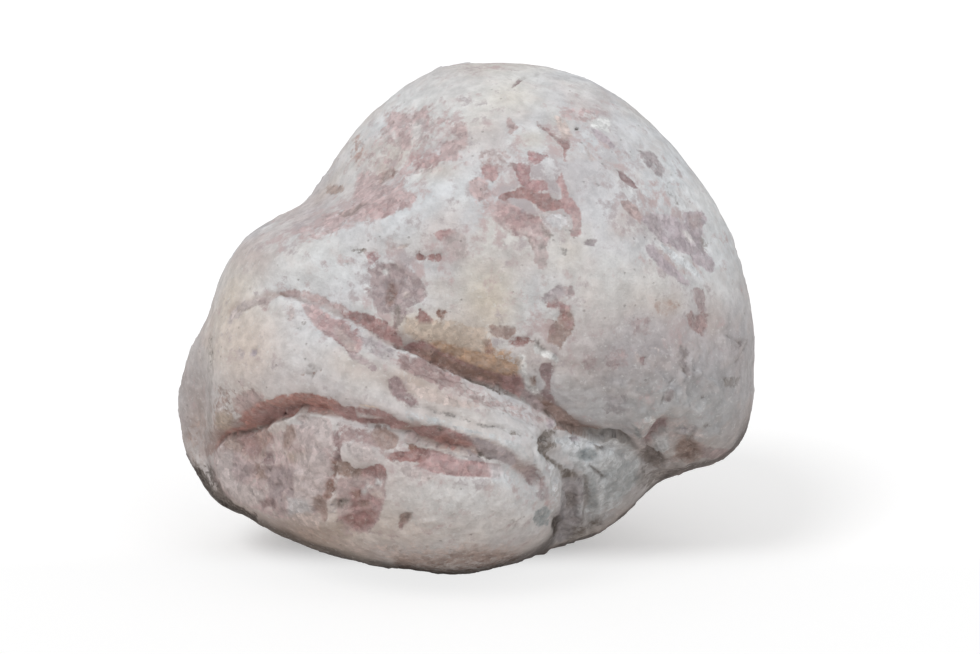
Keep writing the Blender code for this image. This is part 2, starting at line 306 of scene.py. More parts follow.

# Patches laid one over another: (tone, strength, softness of the edge in steps, outline). Many
# of the darkest are painted shade in creases, hollows and along the underside, and a few pale
# specks are painted glints.
PATCHES = (
    (BROWN, 0.45, 8, (-253, 187, -203, 182, -203, 167, -225, 154, -240, 132, -253, 122, -259, 142,
     -255, 172)),
    (SAND, 0.7, 3, (-250, 158, -239, 161, -232, 154, -235, 142, -244, 139, -251, 148)),
    (SHADOW, 0.45, 3, (-257, 236, -252, 237, -252, 220, -254, 200, -258, 200, -257, 220)),
    (FAWN, 0.4, 5, (-279, 144, -269, 160, -261, 168, -259, 132, -261, 110, -273, 110, -281, 126)),
    (DEEP_SHADE, 0.75, 3, (-261, 110, -253, 102, -245, 86, -233, 72, -239, 68, -251, 84, -259, 98)),
    (PEARL, 0.75, 2, (-237, 250, -233, 260, -225, 269, -213, 273, -199, 276, -189, 278, -187, 273,
     -197, 268, -209, 267, -219, 263, -225, 256, -235, 246)),
    (DUSTY, 0.6, 2, (-207, 272, -195, 274, -195, 260, -204, 259)),
    (DUSTY, 0.7, 2, (-187, 281, -173, 283, -161, 282, -147, 278, -135, 273, -120, 267, -115, 261,
     -127, 262, -143, 268, -161, 274, -179, 275)),
    (UMBER, 0.7, 1, (-187, 281, -181, 280, -177, 275, -183, 277)),
    (PEARL, 0.8, 2, (-177, 269, -171, 269, -170, 254, -176, 252)),
    (PINK, 0.9, 3, (-165, 271, -151, 269, -135, 258, -121, 250, -113, 240, -119, 230, -131, 234,
     -141, 239, -151, 246, -159, 258)),
    (LILAC, 0.6, 3, (-107, 242, -93, 238, -79, 228, -69, 222, -73, 212, -87, 216, -101, 222,
     -107, 232)),
    (ROSE, 0.75, 2, (-153, 264, -139, 259, -123, 252, -107, 244, -103, 228, -105, 221, -115, 220,
     -123, 226, -133, 234, -143, 241, -151, 250)),
    (TAUPE, 0.85, 1.5, (-132, 252, -120, 248, -110, 238, -105, 223, -112, 220, -121, 227,
     -129, 238)),
    (SHELL, 0.55, 1, (-128, 246, -122, 244, -114, 232, -108, 222, -115, 222, -123, 230, -128, 238)),
    (MAUVE, 0.75, 2, (-118, 222, -109, 220, -97, 214, -89, 208, -85, 202, -92, 201, -103, 208,
     -115, 214)),
    (SLATE, 0.5, 1, (-173, 247, -167, 246, -165, 242, -171, 243)),
    (SHADOW, 1, 1.5, (-164, 252, -159, 251, -160, 247, -163, 248)),
    (PEAT, 0.55, 1, (-157, 208, -151, 204, -143, 203, -144, 200, -152, 201, -157, 205)),
    (UMBER, 0.5, 1, (-166, 198, -157, 199, -150, 201, -153, 194, -155, 197, -164, 195)),
    (PEARL, 0.8, 1.5, (-226, 223, -221, 223, -222, 216, -226, 217)),
    (ORCHID, 0.8, 1.5, (-215, 223, -208, 223, -210, 215, -215, 216)),
    (SAND, 0.8, 5, (-61, 256, -25, 252, 5, 248, 19, 246, 25, 232, 19, 220, 5, 222, -19, 229,
     -51, 232, -63, 242)),
    (MADDER, 0.85, 2, (-125, 260, -113, 261, -93, 258, -81, 250, -69, 234, -61, 229, -67, 225,
     -77, 231, -87, 236, -99, 243, -113, 251, -121, 255)),
    (MADDER, 0.6, 3, (-81, 250, -69, 246, -63, 234, -61, 227, -69, 232, -77, 238)),
    (MADDER, 1, 2, (-65, 227, -41, 230, -31, 227, -17, 221, -3, 215, 15, 206, 35, 199, 57, 196,
     59, 182, 55, 174, 39, 182, 21, 189, -3, 195, -15, 201, -29, 206, -45, 215, -59, 222)),
    (EARTH, 0.85, 3, (-53, 223, -35, 221, -17, 214, -1, 207, 17, 200, 35, 195, 37, 184, 21, 190,
     -3, 196, -19, 203, -35, 211)),
    (AMBER, 0.95, 2, (-38, 231, -25, 230, -13, 226, 1, 222, 15, 217, 27, 215, 41, 211, 53, 206,
     50, 197, 39, 198, 25, 201, 13, 204, -1, 210, -15, 216, -29, 222)),
    (CLAY, 0.7, 2.5, (19, 214, 33, 212, 51, 206, 49, 199, 35, 200, 23, 204)),
    (WINE, 0.7, 1.5, (21, 232, 27, 230, 27, 218, 21, 220)),
    (MADDER, 0.9, 2, (33, 198, 47, 198, 59, 194, 61, 184, 55, 176, 45, 180, 37, 188)),
    (DEEP_SHADE, 0.85, 1, (-13, 200, 5, 193, 19, 188, 35, 180, 47, 174, 35, 177, 15, 186, -5, 194)),
    (MAUVE, 0.8, 3, (53, 182, 65, 180, 75, 170, 85, 160, 75, 160, 61, 168)),
    (WHITE, 0.75, 1.5, (52, 221, 60, 218, 62, 200, 69, 186, 76, 178, 68, 175, 59, 185, 53, 200)),
    (WHITE, 0.9, 1.5, (68, 226, 83, 221, 96, 212, 92, 208, 80, 215, 69, 220)),
    (WHITE, 0.9, 1, (58, 196, 62, 196, 64, 187, 70, 181, 66, 178, 60, 185)),
    (UMBER, 0.8, 1.5, (64, 194, 71, 196, 72, 185, 67, 184)),
    (PLUM, 0.85, 2, (75, 207, 85, 210, 89, 200, 85, 188, 88, 178, 89, 168, 80, 169, 75, 178,
     81, 186, 76, 196)),
    (BROWN, 1, 2, (79, 162, 87, 166, 97, 162, 109, 154, 117, 146, 125, 137, 115, 137, 101, 142,
     90, 144, 95, 152, 87, 156)),
    (BROWN, 0.8, 2, (93, 152, 105, 151, 115, 144, 123, 138, 111, 139, 95, 143)),
    (ORCHID, 0.8, 1.5, (81, 154, 92, 152, 87, 144, 81, 148)),
    (DEEP_SHADE, 0.6, 2, (117, 142, 127, 140, 141, 138, 155, 136, 167, 132, 177, 125, 167, 126, 153, 132,
     139, 134, 125, 135)),
    (TAUPE, 0.85, 4, (-67, 220, -50, 214, -35, 208, -19, 201, -3, 193, -7, 184, -25, 186, -45, 194,
     -59, 200, -67, 210)),
    (SHELL, 0.8, 3, (-63, 193, -47, 188, -31, 182, -13, 176, 7, 170, 13, 164, -3, 163, -25, 168,
     -49, 176)),
    (DUSTY, 0.5, 4, (-25, 188, 5, 184, 35, 174, 65, 164, 87, 152, 75, 148, 45, 158, 15, 166,
     -15, 176)),
    (PLUM, 0.85, 3, (-77, 194, -71, 198, -65, 195, -61, 186, -53, 176, -46, 168, -55, 165, -65, 170,
     -72, 179, -76, 187)),
    (SLATE, 0.5, 1.5, (-37, 165, -25, 161, -9, 158, 5, 153, 19, 148, 32, 147, 32, 144, 19, 144,
     5, 149, -13, 154, -29, 158)),
    (SHADOW, 0.5, 1.5, (35, 144, 49, 142, 63, 136, 55, 136, 41, 140)),
    (PALE_BLUE, 0.6, 4, (-67, 162, -35, 158, 5, 144, 55, 132, 65, 114, 51, 120, 25, 134, -15, 144,
     -55, 152)),
    (AMBER, 0.75, 2, (-13, 224, 5, 222, 25, 218, 45, 210, 54, 204, 53, 195, 41, 195, 27, 199,
     13, 204, 1, 210, -10, 217)),
    (AMBER, 0.5, 3, (19, 228, 33, 227, 47, 221, 57, 211, 53, 201, 37, 204, 21, 212)),
    (DUSTY, 0.7, 4, (-231, 174, -215, 182, -199, 176, -209, 164, -221, 156, -229, 160)),
    (BRICK, 1, 3, (-222, 158, -215, 163, -209, 168, -199, 171, -187, 176, -173, 178, -165, 179,
     -153, 178, -141, 176, -129, 171, -123, 166, -131, 161, -145, 159, -153, 160, -159, 164,
     -165, 163, -171, 157, -179, 154, -189, 151, -197, 144, -209, 143, -217, 142, -227, 148)),
    (MADDER, 0.85, 2, (-215, 158, -203, 163, -193, 164, -181, 163, -167, 165, -173, 158, -183, 155,
     -191, 151, -201, 146, -211, 145)),
    (BRICK, 0.75, 3, (-241, 137, -229, 144, -215, 144, -213, 139, -225, 136, -237, 135, -244, 129,
     -248, 123, -251, 120, -249, 128)),
    (MADDER, 0.85, 2, (-135, 167, -120, 166, -105, 163, -85, 162, -79, 160, -69, 154, -55, 146,
     -65, 142, -81, 145, -99, 147, -115, 151, -129, 157)),
    (PEACH, 0.7, 1, (-115, 170, -101, 168, -87, 164, -97, 163, -109, 166)),
    (WHITE, 0.6, 1, (-109, 160, -95, 156, -83, 153, -93, 153, -105, 155)),
    (MADDER, 0.95, 2, (-57, 142, -45, 145, -31, 146, -19, 145, -7, 140, 5, 135, 9, 125, -3, 122,
     -15, 124, -25, 126, -37, 131, -49, 135)),
    (BRICK, 0.7, 2, (-33, 134, -19, 134, -7, 130, 3, 125, -13, 123, -25, 126)),
    (DEEP_SHADE, 0.9, 1, (-29, 144, -24, 145, -21, 141, -26, 139)),
    (DEEP_SHADE, 1, 2, (9, 123, 19, 123, 31, 119, 33, 114, 23, 112, 13, 115)),
    (LILAC, 0.85, 2, (1, 136, 13, 133, 25, 130, 37, 125, 47, 118, 53, 110, 45, 106, 35, 111,
     23, 114, 11, 122)),
    (MAUVE, 0.7, 2, (53, 102, 63, 106, 71, 107, 77, 101, 81, 92, 78, 81, 69, 85, 61, 90)),
    (PINK, 0.6, 4, (-255, 117, -243, 130, -203, 136, -165, 148, -133, 152, -131, 102, -135, 72,
     -153, 50, -185, 52, -215, 64, -239, 76, -251, 92)),
    (FAWN, 0.75, 2.5, (-243, 131, -229, 135, -207, 138, -199, 126, -201, 114, -215, 112, -225, 120,
     -235, 122)),
    (MADDER, 0.7, 2, (-229, 136, -209, 138, -203, 126, -211, 114, -221, 120)),
    (TAUPE, 0.6, 2, (-220, 125, -209, 127, -207, 116, -217, 116)),
    (RUST, 0.8, 2, (-209, 140, -199, 143, -193, 138, -195, 128, -203, 124, -209, 128)),
    (COCOA, 0.6, 2, (-202, 119, -196, 119, -196, 104, -202, 106)),
    (PEARL, 0.9, 2.5, (-251, 114, -243, 122, -233, 124, -231, 114, -235, 102, -229, 90, -215, 88,
     -203, 78, -201, 69, -215, 65, -229, 71, -243, 84, -250, 98)),
    (BROWN, 1, 1.5, (-182, 140, -175, 146, -167, 145, -167, 136, -174, 130, -179, 122, -183, 126)),
    (PEARL, 0.9, 3, (-166, 160, -159, 162, -149, 156, -134, 154, -133, 126, -145, 122, -163, 124,
     -167, 140)),
    (DUSTY, 0.4, 3, (-165, 146, -149, 142, -147, 128, -161, 124, -167, 132)),
    (OCHRE, 0.45, 3, (-181, 119, -161, 121, -159, 112, -173, 109)),
    (MAUVE, 0.6, 2, (-163, 111, -157, 110, -157, 96, -162, 98)),
    (PEARL, 0.7, 3, (-171, 120, -141, 120, -135, 110, -139, 92, -147, 80, -153, 62, -165, 60,
     -173, 82)),
    (CRUST, 0.7, 3, (-179, 74, -157, 72, -153, 58, -167, 52, -177, 56)),
    (MAUVE, 1, 1.2, (-202, 100, -195, 105, -185, 105, -180, 100, -179, 86, -186, 80, -188, 72,
     -196, 72, -199, 82, -203, 92)),
    (MAUVE, 1, 1, (-179, 104, -172, 103, -172, 77, -179, 76)),
    (COCOA, 0.95, 1.5, (-207, 70, -199, 73, -190, 72, -191, 63, -202, 64)),
    (MAUVE, 0.9, 1.5, (-189, 73, -183, 74, -181, 58, -187, 56)),
    (MAUVE, 1, 1.5, (-233, 116, -223, 112, -215, 106, -215, 96, -221, 88, -229, 92, -233, 104)),
    (BROWN, 1, 1.2, (-213, 108, -205, 108, -202, 92, -209, 90, -214, 98)),
    (BROWN, 1, 1.5, (-152, 74, -146, 78, -140, 72, -138, 50, -145, 52, -152, 64)),
    (SHELL, 0.9, 1.5, (-177, 56, -159, 60, -145, 52, -147, 42, -165, 46)),
    (PEAT, 0.9, 1.5, (-140, 90, -131, 93, -130, 82, -136, 71, -142, 75)),
    (COCOA, 0.8, 1.5, (-131, 144, -126, 142, -124, 127, -125, 116, -123, 110, -129, 106, -132, 112,
     -130, 122, -132, 132)),
    (PEAT, 0.9, 1, (-135, 111, -131, 109, -129, 96, -133, 96)),
    (CLAY, 0.5, 6, (-169, 44, -135, 42, -121, 30, -145, 24, -165, 30)),
    (TAUPE, 0.8, 5, (-125, 148, -105, 144, -81, 140, -81, 126, -99, 128, -115, 132, -125, 128)),
    (BROWN, 1, 3, (-91, 144, -77, 142, -67, 135, -69, 124, -79, 121, -87, 126, -93, 134)),
    (PEARL, 1, 2, (-119, 128, -107, 129, -95, 124, -88, 114, -95, 108, -107, 109, -115, 116)),
    (TAUPE, 0.6, 2, (-89, 126, -73, 117, -67, 108, -75, 110, -87, 118)),
    (UMBER, 1, 1.2, (-131, 110, -117, 109, -111, 102, -103, 100, -103, 89, -113, 93, -123, 96,
     -130, 100)),
    (MADDER, 1, 1.2, (-105, 100, -97, 104, -87, 108, -80, 104, -79, 94, -85, 89, -97, 89,
     -105, 93)),
    (DUSTY, 0.8, 3, (-129, 94, -79, 94, -79, 72, -85, 52, -97, 38, -115, 38, -129, 50)),
    (ROSE, 1, 1.5, (-115, 82, -103, 87, -89, 81, -84, 72, -85, 60, -89, 50, -98, 41, -113, 42,
     -121, 50, -127, 54, -117, 55, -111, 59, -113, 67, -116, 75)),
    (WINE, 0.8, 1.5, (-123, 54, -111, 56, -99, 61, -87, 58, -93, 48, -105, 43, -115, 46)),
    (PEAT, 0.7, 1.5, (-107, 72, -96, 72, -97, 64, -105, 63)),
    (PEAT, 0.8, 1, (-115, 82, -105, 82, -104, 74, -111, 73)),
    (SHADOW, 0.9, 1, (-124, 73, -114, 74, -119, 68, -123, 61, -130, 64, -125, 67)),
    (MADDER, 0.9, 1, (-115, 72, -109, 72, -107, 64, -113, 58, -115, 64, -111, 67)),
    # painted glints: three small highlights where crystal faces catch the light
    (WHITE, 0.9, 0.8, (-103, 83, -98, 82, -99, 77, -104, 78)),
    (WHITE, 0.9, 0.8, (-91, 91, -85, 89, -85, 84, -90, 87)),
    (CHALK, 0.8, 0.8, (-99, 87, -92, 85, -95, 82, -100, 84)),
    (SHELL, 0.8, 1, (-97, 80, -87, 82, -81, 76, -87, 73, -95, 75)),
    (PEAT, 0.9, 1.2, (-61, 129, -51, 128, -41, 122, -25, 120, -13, 116, -25, 113, -41, 116,
     -55, 122)),
    (WINE, 1, 1.2, (-76, 119, -63, 121, -53, 122, -44, 124, -35, 121, -33, 112, -41, 109, -53, 111,
     -65, 111, -76, 112)),
    (ROSE, 1, 2, (-39, 122, -25, 120, -9, 115, 5, 111, 19, 109, 35, 108, 39, 101, 33, 94, 15, 94,
     -3, 95, -19, 97, -35, 101, -49, 106, -41, 112, -35, 116)),
    (WHITE, 0.7, 1, (-17, 121, -7, 119, 5, 112, -5, 112)),
    (PEARL, 0.7, 2, (-71, 110, -53, 107, -41, 99, -25, 94, -41, 90, -63, 98)),
    (PEAT, 1, 1, (-66, 57, -59, 60, -53, 57, -54, 51, -59, 47, -66, 49)),
    (WINE, 1, 1, (-67, 49, -61, 49, -62, 42, -66, 42)),
    (CHALK, 0.3, 12, (-65, 88, -15, 88, 35, 88, 59, 72, 51, 42, -25, 34, -65, 42)),
    (SHELL, 0.5, 7, (-135, 38, -85, 31, -25, 27, 39, 30, 59, 24, 35, 12, -15, 8, -65, 10,
     -115, 16)),
    (LILAC, 0.7, 2, (71, 78, 83, 86, 86, 72, 75, 70)),
    (BLUE_GREY, 0.7, 2, (71, 60, 83, 67, 88, 58, 84, 45, 73, 45, 68, 52)),
    (BLUE_WHITE, 0.5, 3, (83, 112, 93, 102, 101, 86, 100, 67, 91, 47, 87, 72, 88, 92)),
    (BLUE_WHITE, 0.6, 3, (23, 108, 43, 106, 53, 98, 57, 86, 43, 82, 27, 90)),
    # painted shade along the bottom edge
    (UMBER, 0.5, 5, (-73, 16, -25, 17, 35, 21, 59, 17, 39, -6, -25, -12, -69, -6)),
    (PALE_BLUE, 0.8, 8, (91, 132, 135, 138, 175, 126, 175, 92, 147, 60, 123, 52, 119, 92,
     101, 116)),
    (BLUE_WHITE, 1, 2, (91, 132, 101, 138, 127, 134, 151, 134, 157, 126, 135, 122, 119, 114,
     107, 120, 95, 124)),
    (ORCHID, 0.85, 1, (103, 136, 112, 137, 113, 131, 104, 131)),
    (BLUE_GREY, 0.95, 1.5, (111, 120, 119, 123, 127, 122, 131, 116, 125, 111, 115, 113)),
    (SLATE, 0.8, 1.5, (126, 126, 137, 127, 138, 123, 129, 120)),
    (SHADOW, 0.8, 2, (82, 144, 91, 142, 89, 134, 91, 126, 85, 116, 76, 122, 74, 132, 77, 138)),
    (DEEP_SHADE, 0.6, 1, (77, 139, 83, 140, 82, 130, 77, 131)),
    (DEEP_SHADE, 0.7, 1, (74, 125, 82, 125, 83, 119, 76, 120)),
    (SHADOW, 0.85, 2, (75, 123, 85, 118, 95, 110, 105, 102, 115, 92, 119, 72, 105, 72, 102, 90,
     97, 100, 87, 110, 79, 117)),
    (GREY, 0.95, 2, (102, 92, 117, 92, 120, 72, 117, 57, 111, 42, 105, 31, 94, 28, 90, 34, 93, 52,
     98, 67, 102, 77)),
    (SHADOW, 0.5, 2, (103, 78, 112, 78, 112, 62, 103, 60)),
    (DEEP_SHADE, 0.9, 2, (91, 52, 97, 53, 97, 36, 90, 34)),
    (BLUE_WHITE, 0.6, 0.8, (113, 66, 119, 70, 117, 60, 111, 56)),
    (SLATE, 0.7, 1, (119, 94, 124, 94, 125, 72, 119, 52, 115, 42, 117, 62, 121, 76)),
    (BLUE_GREY, 0.6, 1.5, (125, 92, 131, 92, 131, 66, 125, 62)),
    (SHADOW, 0.6, 4, (109, 42, 125, 52, 141, 58, 137, 48, 121, 37, 107, 31)),
    (DEEP_SHADE, 0.7, 1, (125, 106, 133, 102, 141, 95, 138, 93, 131, 98)),
    (DEEP_SHADE, 0.85, 2.5, (-271, 112, -261, 96, -250, 81, -239, 72, -225, 65, -207, 56, -209, 48,
     -229, 53, -251, 60, -271, 82)),
    (SLATE, 0.6, 3, (177, 108, 195, 105, 219, 106, 211, 98, 191, 88, 175, 80, 169, 92)),
    (BLUE_GREY, 0.4, 4, (141, 104, 165, 112, 175, 94, 157, 72, 139, 72)),
    (PEARL, 0.5, 6, (165, 148, 195, 160, 225, 152, 241, 132, 235, 110, 195, 102, 171, 116)),
    (BLUE_GREY, 0.8, 1.5, (167, 150, 175, 144, 177, 131, 171, 134)),
    (PLUM, 0.9, 1.5, (178, 131, 185, 140, 193, 149, 204, 153, 204, 142, 195, 138, 187, 131,
     183, 127)),
    (PALE_BLUE, 0.95, 1, (178, 156, 186, 156, 185, 150, 180, 150)),
    (WHITE, 1, 1.5, (185, 152, 191, 151, 188, 143, 184, 144)),
    (PALE_BLUE, 0.7, 2, (189, 132, 203, 136, 205, 124, 197, 116, 189, 122)),
    (DEEP_SHADE, 0.65, 3, (175, 120, 185, 119, 195, 115, 205, 109, 197, 105, 187, 105, 178, 109,
     173, 114)),
    (UMBER, 0.85, 4, (212, 128, 219, 135, 227, 132, 237, 125, 242, 116, 227, 109, 215, 109,
     209, 113)),
    (MAUVE, 0.8, 4, (235, 126, 255, 124, 271, 122, 259, 112, 241, 110)),
    (GREY, 0.8, 1, (215, 145, 221, 144, 222, 136, 216, 137)),
    (SLATE, 0.8, 1, (221, 136, 229, 140, 227, 132, 221, 128)),
    (GREY, 0.7, 1, (225, 146, 233, 145, 232, 139, 226, 140)),
    (BLUE_WHITE, 0.6, 0.8, (207, 190, 212, 194, 207, 184, 201, 180, 198, 168, 196, 168, 198, 182)),
    (ASH, 0.8, 2, (199, 180, 207, 184, 211, 178, 203, 168, 198, 170)),
    (PLUM, 1, 1.5, (174, 216, 180, 217, 181, 208, 176, 206)),
    (PEARL, 0.8, 0.8, (170, 220, 173, 218, 175, 208, 172, 211)),
    (PINK_CREAM, 0.7, 0.8, (185, 224, 195, 224, 193, 216, 192, 221)),
    (MAUVE, 0.6, 4, (141, 228, 161, 226, 165, 206, 149, 198, 139, 212)),
    (MAUVE, 0.5, 5, (111, 222, 133, 218, 135, 202, 119, 200)),
    (GREY, 0.6, 5, (135, 176, 161, 180, 165, 158, 141, 152)),
    (ASH, 0.7, 3, (215, 222, 221, 226, 225, 220, 223, 210, 228, 198, 223, 194, 217, 206, 213, 214)),
    (SLATE, 0.7, 3, (257, 196, 274, 195, 270, 185, 262, 185)),
    (ASH, 0.5, 3, (263, 235, 275, 230, 284, 232, 276, 226, 266, 219, 269, 228)),
    (SLATE, 0.4, 2, (235, 150, 246, 151, 247, 144, 238, 143)),
    (SLATE, 0.4, 2, (235, 176, 245, 176, 243, 168, 237, 170)),
    (FAWN, 0.5, 6, (187, 268, 211, 274, 219, 264, 203, 254, 189, 258)),
    (MAUVE, 0.5, 5, (163, 256, 185, 258, 187, 238, 169, 234)),
    (PINK, 0.45, 8, (-81, 460, -35, 468, 3, 450, 3, 407, -45, 397, -103, 372, -109, 407, -93, 432)),
    (PINK, 0.6, 2, (-79, 451, -74, 460, -61, 460, -56, 454, -50, 460, -43, 465, -37, 468, -36, 452,
     -34, 446, -39, 447, -43, 454, -53, 450, -54, 427, -60, 422, -67, 426, -69, 440, -74, 444,
     -77, 438, -79, 444)),
    (CHALK, 0.8, 2, (-52, 448, -45, 451, -43, 438, -47, 430, -53, 434)),
    (CHALK, 0.7, 1.5, (-73, 442, -69, 438, -70, 432, -75, 436)),
    (ROSE, 0.5, 2, (-53, 419, -35, 420, -22, 419, -24, 411, -33, 405, -49, 404, -56, 412)),
    (DUSTY, 0.6, 1.5, (-13, 444, -7, 448, 2, 448, 3, 426, -3, 422, -10, 425, -8, 434, -13, 440)),
    (PINK, 0.8, 3, (-25, 431, -9, 431, -7, 413, -21, 412)),
    (RUST, 0.45, 3, (-111, 436, -103, 440, -99, 422, -107, 406, -115, 412)),
    (BROWN, 0.6, 2, (-89, 390, -85, 400, -73, 404, -66, 400, -73, 394, -85, 388)),
    (PINK, 0.75, 3, (-113, 367, -109, 392, -103, 400, -85, 396, -89, 388, -70, 386, -62, 392,
     -59, 382, -50, 380, -48, 372, -61, 364, -73, 358, -85, 353, -99, 350, -115, 350, -130, 344,
     -143, 348, -145, 358, -125, 360)),
    (ROSE, 0.4, 2, (-101, 368, -85, 372, -65, 373, -52, 372, -65, 364, -75, 358, -87, 353,
     -97, 354)),
    (BROWN, 0.55, 1.5, (-127, 359, -119, 361, -111, 365, -102, 369, -107, 362, -115, 357,
     -123, 356)),
    (FAWN, 0.8, 2, (-139, 386, -131, 389, -121, 388, -121, 380, -133, 377, -140, 378)),
    (PINK, 0.6, 4, (-165, 346, -135, 350, -115, 348, -129, 338, -155, 330, -169, 332)),
    (PINK, 0.8, 3, (3, 390, 11, 396, 21, 392, 27, 380, 21, 372, 27, 367, 35, 372, 47, 369, 59, 362,
     75, 354, 85, 342, 83, 332, 82, 302, 73, 304, 67, 322, 61, 334, 47, 336, 35, 346, 25, 356,
     19, 366, 9, 374, 3, 380)),
    (DUSTY, 0.6, 4, (13, 422, 35, 426, 47, 416, 51, 406, 35, 404, 17, 406)),
    (ROSE, 0.9, 1.5, (15, 404, 23, 409, 31, 406, 35, 397, 29, 391, 19, 394)),
    (GARNET, 1, 1.5, (49, 408, 59, 409, 65, 404, 66, 393, 81, 391, 84, 382, 73, 382, 63, 384,
     55, 388, 51, 396)),
    (MADDER, 0.9, 1.2, (33, 376, 40, 380, 51, 382, 55, 386, 65, 384, 75, 380, 84, 380, 87, 375,
     95, 372, 98, 366, 91, 361, 80, 360, 73, 365, 67, 372, 59, 374, 47, 375, 39, 372, 34, 373)),
    (ROSE, 0.95, 1.2, (91, 389, 95, 397, 98, 401, 101, 387, 106, 376, 112, 368, 116, 359, 116, 346,
     117, 340, 111, 335, 105, 336, 108, 346, 106, 358, 100, 361, 96, 367, 97, 380, 94, 388)),
    (DUSTY, 0.7, 1.5, (107, 358, 115, 358, 117, 342, 111, 336, 106, 338, 109, 348)),
    (CRUST, 0.6, 2, (77, 358, 91, 359, 103, 356, 105, 346, 95, 342, 85, 346, 81, 352)),
    (ROSE, 0.65, 2, (33, 368, 45, 366, 55, 364, 65, 356, 76, 356, 76, 350, 65, 346, 49, 340,
     43, 346, 35, 354)),
    (TAUPE, 0.75, 1.5, (59, 359, 69, 358, 76, 355, 71, 350, 61, 353)),
    (SHADOW, 0.6, 1.5, (74, 349, 80, 346, 85, 338, 90, 339, 88, 334, 81, 335)),
    (SHADOW, 0.55, 1.5, (60, 340, 65, 336, 70, 322, 66, 322)),
    (PEARL, 0.6, 3, (67, 328, 80, 330, 83, 304, 75, 304, 69, 314)),
    (PLUM, 0.8, 1, (46, 364, 51, 363, 52, 358, 47, 358)),
    (PLUM, 0.8, 1, (51, 357, 56, 356, 55, 352, 51, 353)),
    (ORCHID, 0.8, 1, (55, 365, 60, 364, 59, 360, 55, 361)),
    (PLUM, 0.8, 1, (48, 341, 54, 340, 53, 335, 48, 336)),
    (SLATE, 0.8, 1, (75, 327, 80, 326, 80, 322, 76, 323)),
    (SLATE, 0.6, 1, (37, 333, 41, 332, 40, 328, 37, 329)),
    (SLATE, 0.6, 1, (40, 322, 44, 321, 43, 316, 40, 317)),
    (SLATE, 0.6, 1, (99, 343, 107, 342, 109, 339, 101, 340)),
    (LILAC, 0.95, 1, (119, 332, 125, 334, 132, 332, 128, 327, 121, 327)),
    (SLATE, 0.5, 2, (95, 326, 104, 325, 103, 316, 96, 317)),
    (GARNET, 0.85, 1.5, (62, 423, 70, 421, 79, 417, 84, 416, 78, 411, 69, 406, 63, 410)),
    (DUSTY, 0.7, 1.5, (42, 456, 47, 452, 54, 444, 47, 438, 43, 435, 42, 446)),
    (TAUPE, 0.85, 1.2, (71, 451, 77, 446, 87, 441, 95, 434, 103, 434, 106, 430, 104, 423, 100, 423,
     95, 426, 88, 432, 81, 440, 73, 446)),
    (MADDER, 0.9, 1.2, (96, 430, 103, 432, 106, 426, 102, 420, 102, 408, 98, 410, 99, 422)),
    (SHELL, 0.95, 2, (88, 456, 95, 454, 103, 446, 107, 436, 99, 434, 93, 442)),
    (DEEP_SHADE, 1, 0.8, (110, 446, 114, 446, 114, 442, 110, 442)),
    (WHITE, 1, 1, (125, 452, 144, 453, 144, 439, 135, 442, 127, 445)),
    (ORCHID, 0.9, 1.2, (125, 444, 133, 442, 142, 435, 150, 426, 147, 423, 138, 430, 130, 436)),
    (PEARL, 0.8, 1.5, (117, 428, 123, 424, 132, 412, 127, 411, 120, 420)),
    (PINK, 0.6, 3, (94, 460, 107, 464, 127, 464, 135, 460, 127, 451, 117, 449, 95, 454)),
    (PLUM, 0.7, 1, (46, 485, 51, 492, 58, 494, 55, 489, 50, 484)),
    (SLATE, 0.4, 1.5, (125, 401, 131, 395, 137, 386, 133, 385, 127, 393)),
    (ROSE, 0.85, 1.5, (-32, 339, -27, 342, -15, 343, -8, 339, -15, 332, -21, 336, -22, 330,
     -27, 332)),
    (PEARL, 0.7, 3, (-15, 340, -1, 340, 5, 322, -1, 310, -15, 316, -19, 328)),
    (WINE, 0.9, 1, (-51, 319, -46, 320, -40, 315, -43, 311, -50, 313)),
    (MADDER, 0.85, 1.2, (-40, 316, -33, 319, -25, 319, -25, 311, -35, 310)),
    (PINK_CREAM, 0.65, 1, (-78, 327, -72, 326, -65, 327, -59, 330, -55, 328, -59, 324, -69, 324)),
    (SHADOW, 0.6, 1.5, (-115, 322, -107, 326, -98, 324, -101, 319, -111, 319)),
    (GARNET, 0.6, 2, (-101, 320, -89, 322, -83, 316, -87, 308, -97, 306)),
    (MAUVE, 0.9, 2.5, (-93, 304, -80, 310, -65, 306, -53, 302, -43, 290, -38, 276, -45, 269,
     -55, 265, -63, 252, -67, 244, -71, 246, -73, 260, -81, 258, -89, 260, -93, 272, -95, 288)),
    (PEARL, 0.7, 1, (-69, 309, -64, 306, -66, 303, -70, 305)),
    (LILAC, 0.7, 1, (-61, 309, -55, 310, -57, 302, -62, 304)),
    (SLATE, 0.6, 1, (-83, 304, -75, 302, -77, 298, -84, 299)),
    (MAUVE, 0.6, 1, (-99, 303, -91, 302, -93, 298, -99, 299)),
    # painted glints: two pale specks where crystal faces catch the light
    (PINK_CREAM, 0.9, 1, (-63, 281, -57, 281, -57, 275, -62, 275)),
    (WHITE, 0.8, 1, (-83, 302, -77, 301, -78, 296, -82, 297)),
    (PEAT, 0.75, 1.5, (-79, 288, -73, 290, -68, 282, -71, 272, -75, 266, -80, 269)),
    (SHADOW, 0.75, 1.5, (-71, 267, -65, 268, -65, 246, -70, 245)),
    (MAUVE, 0.8, 2, (-105, 288, -95, 285, -91, 274, -97, 274)),
    (WINE, 0.95, 1.2, (-47, 264, -42, 262, -32, 253, -33, 250, -45, 249, -49, 254)),
    (PEAT, 0.7, 2, (-29, 264, -19, 262, -17, 254, -25, 248, -29, 254)),
    (BROWN, 0.9, 2, (23, 246, 32, 248, 51, 245, 51, 238, 43, 233, 32, 233, 25, 239)),
    (WINE, 0.75, 2, (40, 229, 48, 235, 55, 236, 66, 235, 68, 229, 59, 225, 49, 225)),
